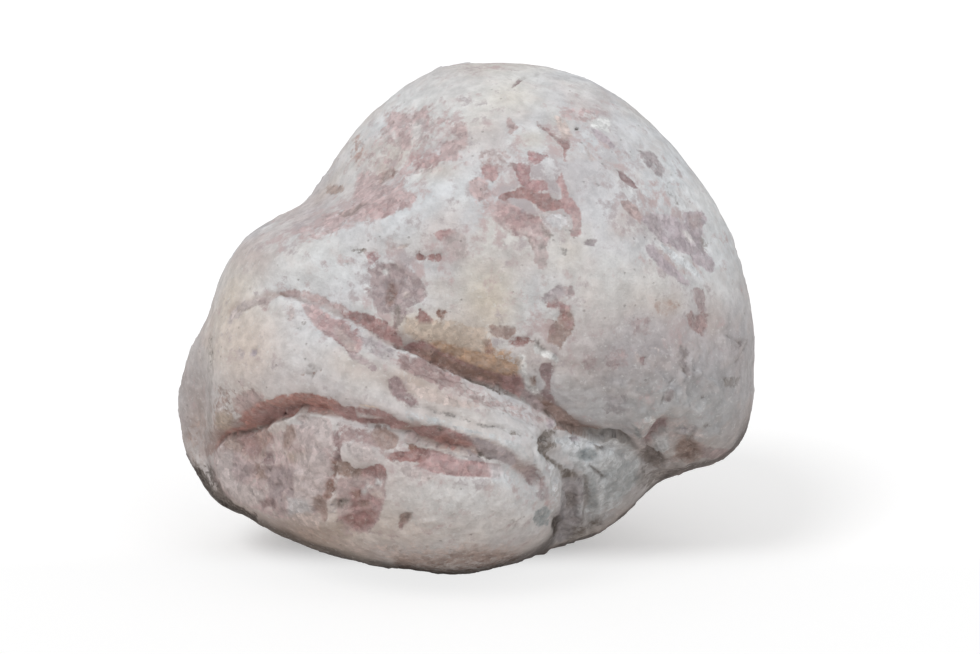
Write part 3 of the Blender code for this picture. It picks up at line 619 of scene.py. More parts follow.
    (EARTH, 0.8, 1, (19, 231, 25, 232, 26, 225, 21, 225)),
    (PEAT, 0.8, 1, (20, 222, 27, 223, 27, 218, 21, 217)),
    (SLATE, 0.6, 1.2, (68, 234, 73, 233, 76, 225, 83, 221, 77, 220, 70, 226)),
    (CRUST, 0.7, 1, (85, 221, 90, 218, 94, 214, 89, 214)),
    (LILAC, 0.85, 2, (76, 275, 83, 281, 91, 286, 97, 288, 99, 279, 95, 272, 87, 269, 79, 271)),
    (MADDER, 0.85, 1.2, (80, 269, 87, 270, 92, 268, 87, 263, 82, 264)),
    (MAUVE, 0.75, 1.5, (99, 285, 108, 286, 111, 275, 104, 273, 99, 278)),
    (ROSE, 0.6, 3, (87, 272, 103, 274, 107, 264, 95, 258, 87, 262)),
    (BROWN, 0.9, 1.8, (84, 242, 91, 251, 95, 258, 99, 262, 106, 262, 109, 254, 111, 246, 106, 236,
     102, 234, 95, 220, 91, 226, 84, 230, 83, 236)),
    (WINE, 0.9, 1.2, (95, 260, 102, 261, 103, 252, 97, 250)),
    (ROSE, 0.6, 1.2, (85, 247, 91, 247, 91, 238, 85, 237)),
    (ROSE, 0.8, 1.2, (101, 251, 109, 252, 108, 244, 101, 244)),
    (MAUVE, 0.5, 2, (79, 296, 91, 297, 95, 292, 83, 291)),
    (PLUM, 0.9, 1.2, (151, 404, 159, 400, 167, 394, 174, 383, 169, 384, 161, 390, 155, 396)),
    (DUSTY, 0.9, 1.8, (155, 372, 163, 374, 171, 366, 178, 356, 177, 346, 169, 353, 161, 361,
     156, 365)),
    (ORCHID, 0.85, 2.5, (179, 358, 190, 360, 201, 359, 211, 355, 219, 350, 219, 360, 229, 362,
     238, 361, 243, 353, 237, 344, 237, 334, 242, 322, 251, 310, 250, 301, 245, 300, 235, 304,
     225, 314, 215, 320, 205, 328, 197, 332, 189, 340, 183, 346, 179, 352)),
    (LILAC, 0.7, 2, (181, 357, 195, 358, 199, 344, 197, 334, 189, 342)),
    (BROWN, 0.4, 2, (222, 358, 235, 359, 237, 344, 227, 342)),
    (CHALK, 0.8, 1, (217, 343, 223, 342, 230, 332, 226, 330, 220, 336)),
    (ORCHID, 0.5, 1.5, (227, 322, 237, 316, 249, 302, 247, 298, 235, 306)),
    (SHADOW, 0.45, 1.5, (235, 336, 243, 332, 247, 322, 239, 322)),
    (BLUE_WHITE, 0.7, 2.5, (195, 328, 207, 324, 221, 310, 235, 300, 239, 290, 225, 298, 209, 310,
     197, 320)),
    (ORCHID, 0.85, 1.8, (180, 326, 189, 328, 193, 320, 201, 312, 210, 304, 221, 293, 227, 286,
     217, 288, 206, 296, 195, 304, 187, 312, 181, 320)),
    (LILAC, 0.75, 2, (172, 422, 185, 423, 193, 415, 200, 404, 199, 392, 191, 397, 180, 409)),
    (SLATE, 0.4, 1.5, (207, 400, 211, 400, 203, 382, 199, 382)),
    (SLATE, 0.4, 1.5, (201, 382, 209, 378, 217, 366, 211, 366)),
    (SLATE, 0.2, 1.5, (185, 372, 195, 371, 197, 367, 189, 367)),
    (MAUVE, 0.9, 1.5, (227, 283, 237, 284, 240, 276, 239, 262, 233, 261, 229, 272)),
    (TAUPE, 0.8, 3, (221, 256, 227, 263, 232, 257, 238, 260, 244, 258, 245, 250, 241, 242, 238, 236,
     230, 239, 225, 246)),
)

# Narrow cracks and creases: (depth in mm, half width in steps, route).
CRACKS = (
    (0.6, 3, (-143, 266, -125, 256, -110, 251, -97, 243, -85, 234, -69, 225)),
    (0.9, 4, (-69, 225, -45, 215, -29, 206, -15, 201, -3, 195, 15, 190, 35, 182, 55, 172, 75, 163,
     88, 154, 97, 145, 110, 140, 125, 136, 140, 137, 155, 134, 167, 127)),
    (0.8, 4, (-251, 121, -243, 131, -225, 136, -203, 143, -189, 151, -175, 154, -163, 163,
     -145, 159)),
    (0.4, 3, (-145, 159, -130, 154, -115, 148, -99, 144, -81, 143, -65, 140)),
    (0.6, 3, (-65, 140, -45, 133, -25, 126, -7, 122)),
    (0.6, 3, (47, 485, 52, 490, 58, 494, 66, 496, 75, 498)),
    (0.8, 3, (-127, 358, -120, 357, -113, 359, -107, 366, -99, 369)),
    (0.6, 2, (-79, 327, -73, 324, -67, 327, -61, 325, -56, 328)),
    (0.8, 3, (-227, 261, -219, 263, -209, 267, -201, 270)),
    (0.8, 3, (-188, 280, -180, 277, -173, 275, -161, 272)),
    (0.7, 2, (-175, 247, -169, 246, -165, 243)),
    (0.7, 2, (-157, 207, -151, 203, -144, 203)),
    (0.7, 2, (-165, 198, -157, 199, -150, 200, -154, 193)),
    (0.5, 2, (-76, 190, -73, 181, -66, 172, -57, 165, -45, 166, -35, 163, -23, 160, -9, 157, 5, 152,
     15, 147, 33, 146, 50, 142, 65, 136)),
    (0.7, 2, (5, 138, 15, 134, 27, 131)),
    (0.8, 2, (71, 234, 76, 224, 83, 220, 91, 214)),
    (0.8, 2, (54, 212, 55, 198, 59, 187, 66, 180)),
    (0.7, 2, (66, 210, 71, 200, 73, 188, 69, 181)),
    (0.9, 2, (125, 106, 133, 101, 140, 94)),
    (0.8, 2, (175, 216, 181, 214, 179, 206)),
    (0.8, 2, (263, 236, 273, 230, 283, 232)),
    (0.8, 2, (271, 210, 278, 222, 283, 228)),
    (0.9, 3, (217, 226, 222, 216, 215, 208, 223, 196)),
    (0.8, 2, (209, 194, 201, 180, 197, 167)),
    (0.9, 3, (165, 127, 175, 122, 187, 119, 197, 112)),
    (0.8, 2, (185, 136, 191, 128, 189, 120)),
    (0.6, 2, (47, 53, 51, 45, 45, 39)),
    (0.7, 2, (-131, 142, -126, 132, -126, 116, -131, 106, -131, 94)),
    (0.5, 5, (-253, 235, -254, 222, -253, 200, -256, 177, -258, 152, -256, 132, -251, 107,
     -244, 79)),
    (0.6, 2, (5, 176, 23, 168, 35, 166, 55, 168)),
)

# Ledges in the crust: (drop above in mm, its reach in steps, drop below, its reach, route from
# left to right). The surface rises where a drop is negative.
LEDGES = (
    (3, 18, -2.2, 16, (-251, 121, -243, 131, -225, 135, -211, 138, -197, 144, -189, 151, -179, 154,
     -169, 157, -163, 163, -153, 162, -143, 159, -130, 155)),
    (1.2, 12, -1, 8, (-143, 160, -130, 155, -115, 149, -99, 145, -81, 144, -65, 141)),
    (2.4, 18, -1.6, 14, (-67, 141, -53, 136, -39, 129, -25, 125, -7, 122, 11, 116)),
    (0.9, 12, -0.5, 10, (-193, 275, -175, 276, -159, 271, -143, 266, -125, 256, -110, 251, -97, 243,
     -85, 234, -73, 228)),
    (3.2, 20, -2.4, 16, (-77, 229, -65, 223, -45, 215, -29, 206, -15, 201, -3, 195, 15, 190,
     35, 182, 55, 172, 75, 163)),
    (2.6, 14, -2, 14, (73, 164, 88, 154, 97, 145, 110, 140, 125, 136, 140, 137, 155, 134,
     167, 127)),
    (0, 4, 1.3, 10, (-76, 194, -73, 181, -66, 172, -57, 165, -45, 166, -35, 163, -23, 160, -9, 157,
     5, 152, 15, 147, 33, 146, 50, 142, 67, 135)),
    (0.9, 14, 0, 4, (-147, 242, -133, 234, -119, 222, -105, 210, -89, 198, -77, 194)),
    (0.7, 8, 0, 4, (5, 176, 23, 169, 37, 166, 55, 168)),
    (0.6, 8, 0, 4, (-121, 163, -105, 164, -87, 161, -75, 156, -63, 151)),
    (0, 4, 0.8, 8, (3, 136, 15, 133, 27, 130, 41, 123, 55, 112)),
    (0.8, 10, 0, 4, (-229, 260, -219, 263, -209, 267, -199, 271)),
    (0, 4, 0.8, 7, (-191, 264, -186, 257, -177, 258, -167, 250, -157, 248)),
    (0.8, 9, 0, 4, (-73, 110, -61, 108, -45, 104, -25, 98, -3, 94, 23, 92)),
    (0, 4, 0.7, 6, (-41, 123, -19, 121, 1, 115, 25, 107)),
    (2.6, 12, -1, 8, (173, 120, 185, 118, 199, 111)),
    (1.8, 10, -0.8, 8, (179, 128, 189, 132, 199, 140, 207, 142)),
    (2.2, 12, 0, 4, (211, 108, 225, 114, 239, 114)),
    (0, 4, 0.7, 6, (161, 232, 175, 227, 191, 223, 197, 226)),
    (0, 4, 0.6, 6, (167, 222, 175, 218, 181, 210)),
    (0, 4, 0.7, 6, (47, 486, 55, 493, 65, 497, 77, 499)),
    (0.7, 7, 0, 4, (72, 232, 80, 222, 91, 214, 101, 210)),
    (0.6, 6, 0, 4, (95, 112, 111, 102, 125, 98, 141, 92)),
)

# Hollows, and swellings where the depth is negative: (depth in mm, middle, (reach across, reach
# up), turn in degrees). The reach is as it would be before the turn.
HOLLOWS = (
    (2.6, (186, 113), (13, 6), -10),
    (2.2, (223, 122), (14, 10), -20),
    (2.5, (197, 144), (12, 7), 30),
    (-2.5, (197, 126), (12, 7), 10),
    (-2, (175, 140), (8, 9), 0),
    (3.5, (81, 135), (6, 9), -20),
    (-2.5, (117, 128), (22, 10), -10),
    (-2, (143, 116), (16, 14), 0),
    (2.4, (87, 117), (8, 6), -40),
    (1.4, (101, 96), (8, 12), -20),
    (1.6, (106, 72), (6, 18), 10),
    (2.2, (95, 46), (7, 16), 18),
    (-1.8, (114, 67), (4, 24), 8),
    (1.4, (122, 72), (4, 26), 8),
    (-1.5, (132, 67), (5, 24), 10),
    (1.2, (139, 94), (8, 6), -40),
    (-1.6, (-177, 148), (14, 8), 0),
    (-1.8, (-159, 158), (12, 6), 0),
    (1.5, (-190, 87), (9, 14), 0),
    (1.2, (-209, 132), (12, 8), 20),
    (1.3, (-145, 62), (6, 12), 0),
    (1.2, (-135, 102), (5, 20), 0),
    (1.8, (-97, 94), (12, 8), 0),
    (1.6, (-101, 60), (12, 14), 0),
    (1.6, (-58, 53), (4, 4), 0),
    (1.2, (-63, 46), (3, 3), 0),
    (1.4, (67, 94), (10, 10), -30),
    (-1.2, (-183, 268), (6, 9), 0),
    (1.3, (95, 246), (10, 16), 0),
    (1.2, (55, 230), (12, 5), 0),
    (1.3, (-65, 182), (10, 12), -40),
    (1, (-135, 254), (26, 7), -28),
    (1, (-74, 280), (12, 22), 0),
    (0.9, (-33, 316), (14, 5), 0),
    (0.8, (75, 370), (24, 7), -15),
    (0.8, (-197, 316), (8, 6), 30),
    (1, (123, 330), (5, 3), 0),
    (0.7, (163, 391), (9, 4), -45),
    (0.8, (195, 344), (14, 12), 0),
    (0.8, (233, 250), (10, 10), 0),
    (0.7, (112, 444), (2, 2), 0),
    (1, (-224, 220), (3, 3), 0),
    (1.2, (-212, 220), (4, 4), 0),
    (0.8, (-25, 141), (4, 3), 0),
    (1.2, (51, 188), (10, 7), 0),
    (1.3, (83, 200), (6, 10), 0),
)

# Where the surface is broken and craggy: (amount, middle, (reach across, reach up), turn).
CRAGS = (
    (1, (-190, 102), (58, 44), 0),
    (0.8, (-120, 72), (46, 40), 0),
    (0.8, (-155, 147), (50, 18), 0),
    (0.6, (-25, 110), (70, 20), -14),
    (0.9, (195, 127), (42, 28), 0),
    (1, (113, 82), (36, 48), 0),
    (0.9, (120, 124), (40, 18), 0),
    (0.7, (215, 182), (70, 62), 0),
    (0.6, (135, 187), (50, 40), 0),
    (0.7, (-73, 284), (38, 44), 0),
    (0.55, (55, 367), (46, 44), 0),
    (0.6, (-25, 200), (90, 24), -24),
    (0.6, (-130, 250), (60, 18), -28),
    (0.45, (-265, 152), (24, 70), 0),
    (0.5, (90, 242), (30, 50), 0),
    (0.4, (215, 337), (50, 50), 0),
    (0.4, (-45, 422), (60, 34), 0),
    (0.6, (80, 102), (30, 60), 0),
    (0.35, (-5, 52), (80, 30), 0),
)

# Banks over a crease, stained, and darkened with painted shade where the surface turns down
# into it: (tone, strength, reach above it in steps, route to the right).
BANKS = (
    (BANK, 0.6, 18, (-251, 122, -243, 131, -225, 136, -203, 143, -189, 151, -175, 154, -163, 163,
     -149, 160, -135, 157)),
    (BANK, 0.5, 10, (-143, 159, -127, 156, -113, 152, -99, 148, -81, 147, -63, 142, -49, 140)),
    (BANK, 0.6, 12, (-61, 141, -45, 132, -25, 124, -5, 121, 13, 117)),
    (BANK, 0.6, 16, (5, 126, 25, 120, 41, 110, 51, 102, 59, 96)),
    (BANK, 0.4, 9, (-195, 275, -175, 276, -159, 271, -143, 266, -129, 259, -115, 252, -99, 243,
     -85, 233, -69, 224)),
    (DEEP_BANK, 0.6, 16, (-67, 225, -45, 215, -29, 206, -15, 201, -3, 195, 15, 189)),
    (DEEP_BANK, 0.6, 20, (5, 192, 21, 188, 35, 182, 55, 173, 75, 164, 88, 154)),
    (DEEP_BANK, 0.9, 17, (83, 159, 95, 147, 110, 140, 125, 136)),
    (SHADOW, 0.4, 5, (119, 138, 140, 137, 155, 134, 167, 127)),
    (BROWN, 0.45, 12, (-229, 260, -219, 263, -209, 268, -199, 272, -191, 275)),
)

# Where the crust thins and pink clouds it: (strength, middle, (reach across, reach up), turn).
BLUSHES = (
    (0.5, (-35, 432), (62, 30), 25),
    (0.8, (-95, 367), (62, 16), 22),
    (0.7, (-165, 340), (40, 14), 25),
    (0.95, (55, 372), (46, 46), 0),
    (0.65, (95, 432), (22, 22), 0),
    (0.5, (145, 422), (46, 22), -40),
    (0.6, (175, 367), (34, 44), 40),
    (0.6, (215, 337), (30, 34), 45),
    (0.65, (200, 310), (44, 16), -52),
    (0.6, (-20, 327), (34, 22), 0),
    (0.9, (-73, 287), (38, 44), 0),
    (0.5, (90, 247), (34, 52), 0),
    (0.5, (50, 234), (36, 16), 0),
    (0.5, (230, 257), (22, 34), 0),
    (0.6, (-135, 252), (60, 18), -28),
    (0.65, (-40, 204), (60, 16), -22),
    (0.7, (-25, 112), (80, 24), -14),
    (0.3, (-195, 102), (60, 46), 0),
    (0.4, (-120, 72), (60, 44), 0),
    (0.15, (-45, 42), (110, 30), 0),
    (0.15, (-230, 197), (30, 60), 0),
    (0.2, (-265, 142), (20, 50), 0),
    (0.45, (75, 72), (30, 30), 0),
    (0.4, (15, 504), (40, 10), 0),
    (0.4, (125, 458), (36, 10), 0),
)

# Soft washes over the crust: (tone, strength, middle, (reach across, reach up), turn).
WASHES = (
    (CREAM, 0.8, (38, 476), (32, 16), 0),
    (CREAM, 0.35, (95, 440), (18, 14), -50),
    (BLUE_WHITE, 0.8, (-25, 385), (60, 22), 25),
    (BLUE_WHITE, 0.9, (-145, 300), (70, 20), 12),
    (WHITE, 0.8, (-45, 395), (16, 12), 20),
    (WHITE, 0.9, (134, 445), (12, 10), 0),
    (BLUE_WHITE, 0.6, (180, 430), (60, 25), -50),
    (BLUE_WHITE, 0.7, (240, 350), (30, 90), -10),
    (BLUE_WHITE, 0.6, (55, 255), (22, 50), 0),
    (CREAM, 0.8, (25, 272), (30, 34), -10),
    (CREAM, 0.8, (-30, 238), (42, 16), -20),
    (OCHRE, 0.5, (0, 225), (50, 10), -22),
    (CREAM, 0.45, (160, 278), (50, 28), 0),
    (OCHRE, 0.4, (205, 265), (20, 12), 20),
    (PEACH, 0.7, (250, 262), (12, 30), 0),
    (MAUVE, 0.45, (170, 248), (16, 12), 0),
    (GREY, 0.5, (205, 180), (80, 60), 0),
    (GREY, 0.5, (272, 220), (20, 70), 0),
    (DUSTY, 0.3, (-195, 110), (60, 50), 0),
    (DUSTY, 0.45, (-150, 368), (36, 18), 30),
    (DUSTY, 0.35, (-208, 312), (26, 26), 30),
    (FAWN, 0.4, (-275, 180), (18, 60), 0),
    (WHITE, 0.6, (10, 480), (60, 24), 0),
    (CREAM, 0.4, (-225, 285), (20, 26), 0),
    (OCHRE, 0.35, (-232, 275), (10, 20), 0),
    (PINK_CREAM, 0.7, (-200, 220), (50, 40), 0),
    (BLUE_WHITE, 0.6, (-160, 220), (40, 40), 0),
    (CREAM, 0.4, (-110, 205), (30, 16), -15),
    (PEACH, 0.6, (-45, 182), (30, 8), -18),
    (WHITE, 0.6, (10, 155), (70, 12), -15),
    (BLUE_WHITE, 0.5, (105, 130), (30, 16), 0),
    (GREY, 0.5, (110, 70), (40, 40), 0),
    (GREY, 0.4, (-275, 190), (18, 50), 0),
    (PINK_CREAM, 0.6, (-40, 80), (110, 40), 5),
    (SHELL, 0.6, (-200, 105), (70, 70), 0),
    (SHELL, 0.5, (-100, 90), (80, 60), 0),
    (CREAM, 0.5, (35, 515), (60, 18), 0),
    (PEACH, 0.5, (-125, 450), (22, 50), -30),
    (PEACH, 0.5, (-222, 235), (36, 60), 0),
    (PEACH, 0.4, (-60, 45), (130, 22), 6),
    (CHALK, 0.8, (10, 72), (60, 36), 0),
    (BLUE_WHITE, 0.7, (75, 88), (26, 44), 0),
    (LILAC, 0.5, (205, 235), (70, 40), 0),
    (LILAC, 0.4, (120, 400), (40, 70), -35),
    (CLAY, 0.3, (-110, 200), (60, 26), -20),
    (CHALK, 0.35, (-35, 160), (60, 10), -18),
    (DUSTY, 0.4, (-95, 160), (50, 14), -14),
    (FAWN, 0.35, (-60, 190), (70, 14), -22),
    (WHITE, 0.5, (250, 350), (24, 80), 12),
    (ASH, 0.45, (140, 175), (60, 55), 0),
    (ASH, 0.3, (235, 170), (60, 60), 0),
    (BLUE_WHITE, 0.8, (258, 310), (22, 60), -10),
    (OCHRE, 0.35, (-150, 40), (90, 16), 15),
    (WHITE, 0.7, (-155, 155), (26, 10), 10),
    (WHITE, 0.5, (-50, 466), (60, 22), 0),
    (CHALK, 0.5, (-25, 492), (40, 14), 0),
    (RUST, 0.25, (-85, 402), (20, 14), 0),
    (PEACH, 0.4, (-25, 402), (22, 10), 0),
    (CREAM, 0.4, (65, 432), (16, 10), 0),
    (BLUE_WHITE, 0.8, (125, 432), (14, 12), 0),
    (BLUE_WHITE, 0.9, (213, 402), (16, 24), -40),
    (BLUE_WHITE, 0.8, (185, 372), (14, 10), 0),
    (BLUE_WHITE, 0.5, (148, 285), (34, 36), 0),
    (BLUE_WHITE, 0.4, (65, 262), (14, 24), 0),
    (LILAC, 0.4, (50, 312), (30, 14), 0),
    (SAND, 0.35, (-25, 282), (16, 16), 0),
    (WHITE, 0.6, (-165, 302), (56, 26), 20),
    (SAND, 0.35, (-5, 252), (60, 18), 0),
    (TAUPE, 0.3, (245, 252), (20, 20), 0),
    (FAWN, 0.35, (65, 222), (24, 16), 0),
    (ASH, 0.3, (185, 222), (24, 20), 0),
    (GREY, 0.3, (-175, 192), (50, 14), 0),
    (SAND, 0.5, (-55, 192), (20, 14), 0),
    (FAWN, 0.25, (-25, 162), (50, 14), 0),
    (BLUE_GREY, 0.35, (185, 165), (60, 30), 0),
    (BLUE_GREY, 0.4, (245, 165), (30, 40), 0),
    (BLUE_WHITE, 0.6, (45, 100), (40, 18), 0),
    (BLUE_WHITE, 0.4, (-10, 72), (60, 22), 0),
    (BLUE_GREY, 0.3, (150, 50), (50, 40), 0),
    (WHITE, 0.4, (-40, 462), (44, 16), 0),
    (BLUE_WHITE, 0.4, (-145, 312), (24, 14), 0),
    (BLUE_WHITE, 0.5, (-175, 282), (30, 14), 0),
    (FAWN, 0.35, (-205, 312), (14, 14), 0),
    (FAWN, 0.4, (-55, 192), (18, 12), 0),
    (WHITE, 0.4, (-25, 72), (60, 22), 0),
    (BLUE_WHITE, 0.4, (125, 162), (24, 14), 0),
    (BLUE_WHITE, 0.3, (215, 162), (30, 20), 0),
    (UMBER, 0.3, (-268, 150), (16, 30), 0),
    (CLAY, 0.5, (-160, 42), (40, 14), 0),
)

# Groups of bare places round the back: (middle and spread in mm, how many, tones, turn in
# degrees, how many times longer than wide).
BACK_GROUPS = (
    ((60, 120, 190), 55, 12, (DUSTY, MAUVE, SALMON), 40, 1.8),
    ((-70, 110, 180), 50, 10, (PINK, DUSTY, ROSE), -30, 1.6),
    ((10, 130, 120), 55, 12, (MAUVE, DUSTY, SALMON), 20, 1.8),
    ((-90, 90, 80), 50, 10, (DUSTY, PINK, PLUM), 60, 1.7),
    ((100, 90, 80), 50, 10, (MAUVE, ROSE, DUSTY), -45, 1.7),
    ((0, 60, 250), 50, 8, (PINK, DUSTY, MAUVE), 10, 2.0),
    ((150, 30, 150), 50, 10, (MAUVE, PLUM, DUSTY), -60, 2.0),
    ((-150, 30, 110), 45, 8, (PINK, DUSTY, MAUVE), 70, 1.8),
    ((0, 60, 20), 60, 10, (BROWN, MAUVE, DUSTY), 0, 1.6),
)


def only(piece):
    """Selects one object and makes it the active one."""
    bpy.ops.object.select_all(action="DESELECT")
    piece.select_set(True)
    bpy.context.view_layer.objects.active = piece


def apply_modifier(piece, kind, **settings):
    """Adds a modifier, sets it and applies it."""
    modifier = piece.modifiers.new(kind, kind)
    for name, value in settings.items():
        setattr(modifier, name, value)
    only(piece)
    bpy.ops.object.modifier_apply(modifier=modifier.name)


def vertex_places(piece):
    places = np.empty(len(piece.data.vertices) * 3)
    piece.data.vertices.foreach_get("co", places)
    return places.reshape(-1, 3)


def vertex_normals(piece):
    normals = np.empty(len(piece.data.vertices) * 3)
    piece.data.vertex_normals.foreach_get("vector", normals)
    return normals.reshape(-1, 3)


def move_vertices(piece, places):
    piece.data.vertices.foreach_set("co", places.ravel())
    piece.data.update()


def on_the_face(places):
    """(across, up) of each place, in steps, as seen from the eye."""
    offset = places - EYE
    look = np.array((0, math.cos(EYE_DROP), -math.sin(EYE_DROP)))
    over = np.array((0, math.sin(EYE_DROP), math.cos(EYE_DROP)))
    depth = offset @ look
    across = FACE_MIDDLE[0] + STEPS_PER_SLOPE * offset[:, 0] / depth
    up = FACE_MIDDLE[1] + STEPS_PER_SLOPE * (offset @ over) / depth
    return np.stack((across, up), 1)


def facing(places, normals):
    """1 where the surface looks straight at the eye, 0 at the rim, below 0 behind it."""
    sight = EYE - places
    sight /= np.linalg.norm(sight, axis=1)[:, None]
    return np.sum(sight * normals, axis=1)


def eased(low, high, value):
    """0 at low, 1 at high, and a smooth rise between them."""
    share = np.clip((value - low) / (high - low), 0, 1)
    return share * share * (3 - 2 * share)


def blend(colours, colour, share):
    """Each vertex's colour, taken towards one colour by its share."""
    share = share[:, None]
    return colours * (1 - share) + np.array(colour) * share


def seed_shift(seed):
    """Moves a noise along, so that each seed has lumps of its own."""
    return Vector([seed * step for step in SEED_STEP])


def lumps(places, size, seed):
    """Smooth noise of about -1 to 1 at each place, with lumps of about that size in mm."""
    shift = seed_shift(seed)
    return np.array([noise.noise(Vector(place) + shift) for place in places / (size * MM)])


def facets(places, size, seed):
    """A height of about -1 to 1 for each place, on flat tilted cells of about that size in mm."""
    shift = seed_shift(seed)
    heights = np.empty(len(places))
    for index, place in enumerate(places / (size * MM)):
        spot = Vector(place) + shift
        middle = noise.voronoi(spot)[1][0]
        tilt = noise.cell_vector(middle * FACET_PICKS[0])
        level = noise.cell(middle * FACET_PICKS[1]) - 0.5
        heights[index] = level + FACET_TILT * tilt.dot(spot - middle)
    return heights


def layered(field, places, layers):
    """Several layers of a noise, added up."""
    return sum(height * field(places, size, seed) for height, size, seed in layers)


def corners_of(row):
    """The corners of an outline or a route, as (across, up) pairs."""
    return np.array(row, float).reshape(-1, 2)


def inside_outline(points, outline):
    """How far each point is inside the outline, negative outside it."""
    nearest = np.full(len(points), np.inf)
    inside = np.zeros(len(points), bool)
    for start, end in zip(outline, np.roll(outline, -1, axis=0)):
        edge = end - start
        share = np.clip(((points - start) @ edge) / max(edge @ edge, 1e-9), 0, 1)
        gap = points - start - share[:, None] * edge
        nearest = np.minimum(nearest, np.hypot(gap[:, 0], gap[:, 1]))
        rises = (start[1] > points[:, 1]) != (end[1] > points[:, 1])
        if edge[1]:
            crossing = start[0] + (points[:, 1] - start[1]) * edge[0] / edge[1]
            inside ^= rises & (points[:, 0] < crossing)
    return np.where(inside, nearest, -nearest)


def above_route(points, route):
    """How far each point is from a route that runs to the right, negative below it."""
    nearest = np.full(len(points), np.inf)
    side = np.ones(len(points))
    for start, end in zip(route[:-1], route[1:]):
        leg = end - start
        share = np.clip(((points - start) @ leg) / (leg @ leg), 0, 1)
        gap = points - start - share[:, None] * leg
        away = np.hypot(gap[:, 0], gap[:, 1])
        closer = away < nearest
        nearest = np.where(closer, away, nearest)
        side = np.where(closer, np.sign(leg[0] * gap[:, 1] - leg[1] * gap[:, 0]), side)
    return nearest * side


def route_ends(points, route):
    """1 along a route, easing to 0 over its last few steps and beyond them."""
    start = np.linalg.norm(points - route[0], axis=1)
    end = np.linalg.norm(points - route[-1], axis=1)
    past_start = (points - route[0]) @ (route[1] - route[0]) < 0
    past_end = (points - route[-1]) @ (route[-2] - route[-1]) < 0
    share = eased(0, ROUTE_END, np.minimum(start, end))
    return np.where(past_start | past_end, 0, share)


def near_corners(face, front, corners, margin):
    """The vertices on the face that are anywhere near an outline or a route."""
    near = np.all((face > corners.min(0) - margin) & (face < corners.max(0) + margin), axis=1)
    return np.flatnonzero(near & (front > FACE_FADE[0]))


def soft_spot(face, middle, reach, turn):
    """1 at the middle of an oval on the face, fading to 0 past its reach."""
    angle = math.radians(turn)
    gap = face - np.array(middle)
    along = (gap[:, 0] * math.cos(angle) + gap[:, 1] * math.sin(angle)) / reach[0]
    over = (gap[:, 1] * math.cos(angle) - gap[:, 0] * math.sin(angle)) / reach[1]
    return np.exp(-(along ** 2 + over ** 2))


def strongest_spot(face, spots, background):
    """The strongest of several soft spots at each vertex, and no less than the background."""
    strongest = np.full(len(face), float(background))
    for strength, middle, reach, turn in spots:
        strongest = np.maximum(strongest, strength * soft_spot(face, middle, reach, turn))
    return strongest


class Patchwork:
    """Patches laid one over another: how much they cover each vertex, and the colour there."""

    def __init__(self, crust):
        self.tone = crust.copy()
        self.cover = np.zeros(len(crust))
        self.bare = np.zeros(len(crust))

    def lay(self, which, depth, softness, colour, strength):
        """which are the vertices, depth how many steps each is inside the outline."""
        share = strength * eased(-softness, softness, depth)
        cover = self.cover[which] * (1 - share) + share
        self.tone[which] = blend(self.tone[which], colour, share / np.maximum(cover, 1e-6))
        self.cover[which] = cover
        darkness = min(max(BARE_FROM - sum(colour) / 3, 0) / BARE_DEPTH, 1)
        self.bare[which] = self.bare[which] * (1 - share) + darkness * share


def lay_on_face(patchwork, places, face, front):
    across = layered(lumps, places, EDGE_ACROSS)
    drift = np.stack((across, layered(lumps, places, EDGE_UP)), 1)
    for colour, strength, softness, row in PATCHES:
        outline = corners_of(row)
        which = near_corners(face, front, outline, softness + MARK_MARGIN)
        depth = inside_outline(face[which] + drift[which], outline)
        depth -= 2 * softness * (1 - eased(*FACE_FADE, front[which]))
        softened = EDGE_SOFTNESS * softness + EDGE_SOFTNESS_AT_LEAST
        patchwork.lay(which, depth, softened, colour, strength)


def ragged_outline(chance, reach, length):
    """An angular outline about (0, 0), longer one way."""
    corners = chance.randint(*BACK_CORNERS)
    outline = []
    for corner in range(corners):
        jitter = chance.uniform(-CORNER_JITTER, CORNER_JITTER)
        turn = 2 * math.pi * (corner + jitter) / corners
        far = reach * chance.uniform(*CORNER_REACH)
        outline.append((far * length * math.cos(turn), far * math.sin(turn)))
    return np.array(outline)


def surface_axes(normal, turn):
    """Two directions along the surface, turned by that many degrees from level."""
    level = np.cross((0, 0, 1), normal)
    if np.linalg.norm(level) < 0.05:
        level = np.array((1.0, 0, 0))
    level /= np.linalg.norm(level)
    rise = np.cross(normal, level)
    angle = math.radians(turn)
    along = level * math.cos(angle) + rise * math.sin(angle)
    return along, np.cross(normal, along)


def lay_round_the_back(patchwork, places, normals, front):
    chance = random.Random(BACK_SEED)
    behind = front < FACE_FADE[1]
    for middle, spread, count, colours, turn, length in BACK_GROUPS:
        for _ in range(count):
            scatter = [chance.gauss(0, spread * BACK_SPREAD) for _ in range(3)]
            aim = (np.array(middle) + scatter) * MM
            nearest = np.argmin(np.linalg.norm(places - aim, axis=1))
            if not behind[nearest]:
                continue
            along, over = surface_axes(normals[nearest], turn + chance.gauss(0, BACK_TURN))
            offset = (places - places[nearest]) / MM / STEP
            reach = chance.uniform(*BACK_REACH)
            limit = reach * length * BACK_MARGIN + BACK_SOFTNESS
            which = np.flatnonzero((np.linalg.norm(offset, axis=1) < limit) & behind)
            flat = np.stack((offset[which] @ along, offset[which] @ over), 1)
            depth = inside_outline(flat, ragged_outline(chance, reach, length))
            depth -= 2 * BACK_SOFTNESS * eased(*FACE_FADE, front[which])
            strength = chance.uniform(*BACK_STRENGTH)
            patchwork.lay(which, depth, BACK_SOFTNESS, chance.choice(colours), strength)


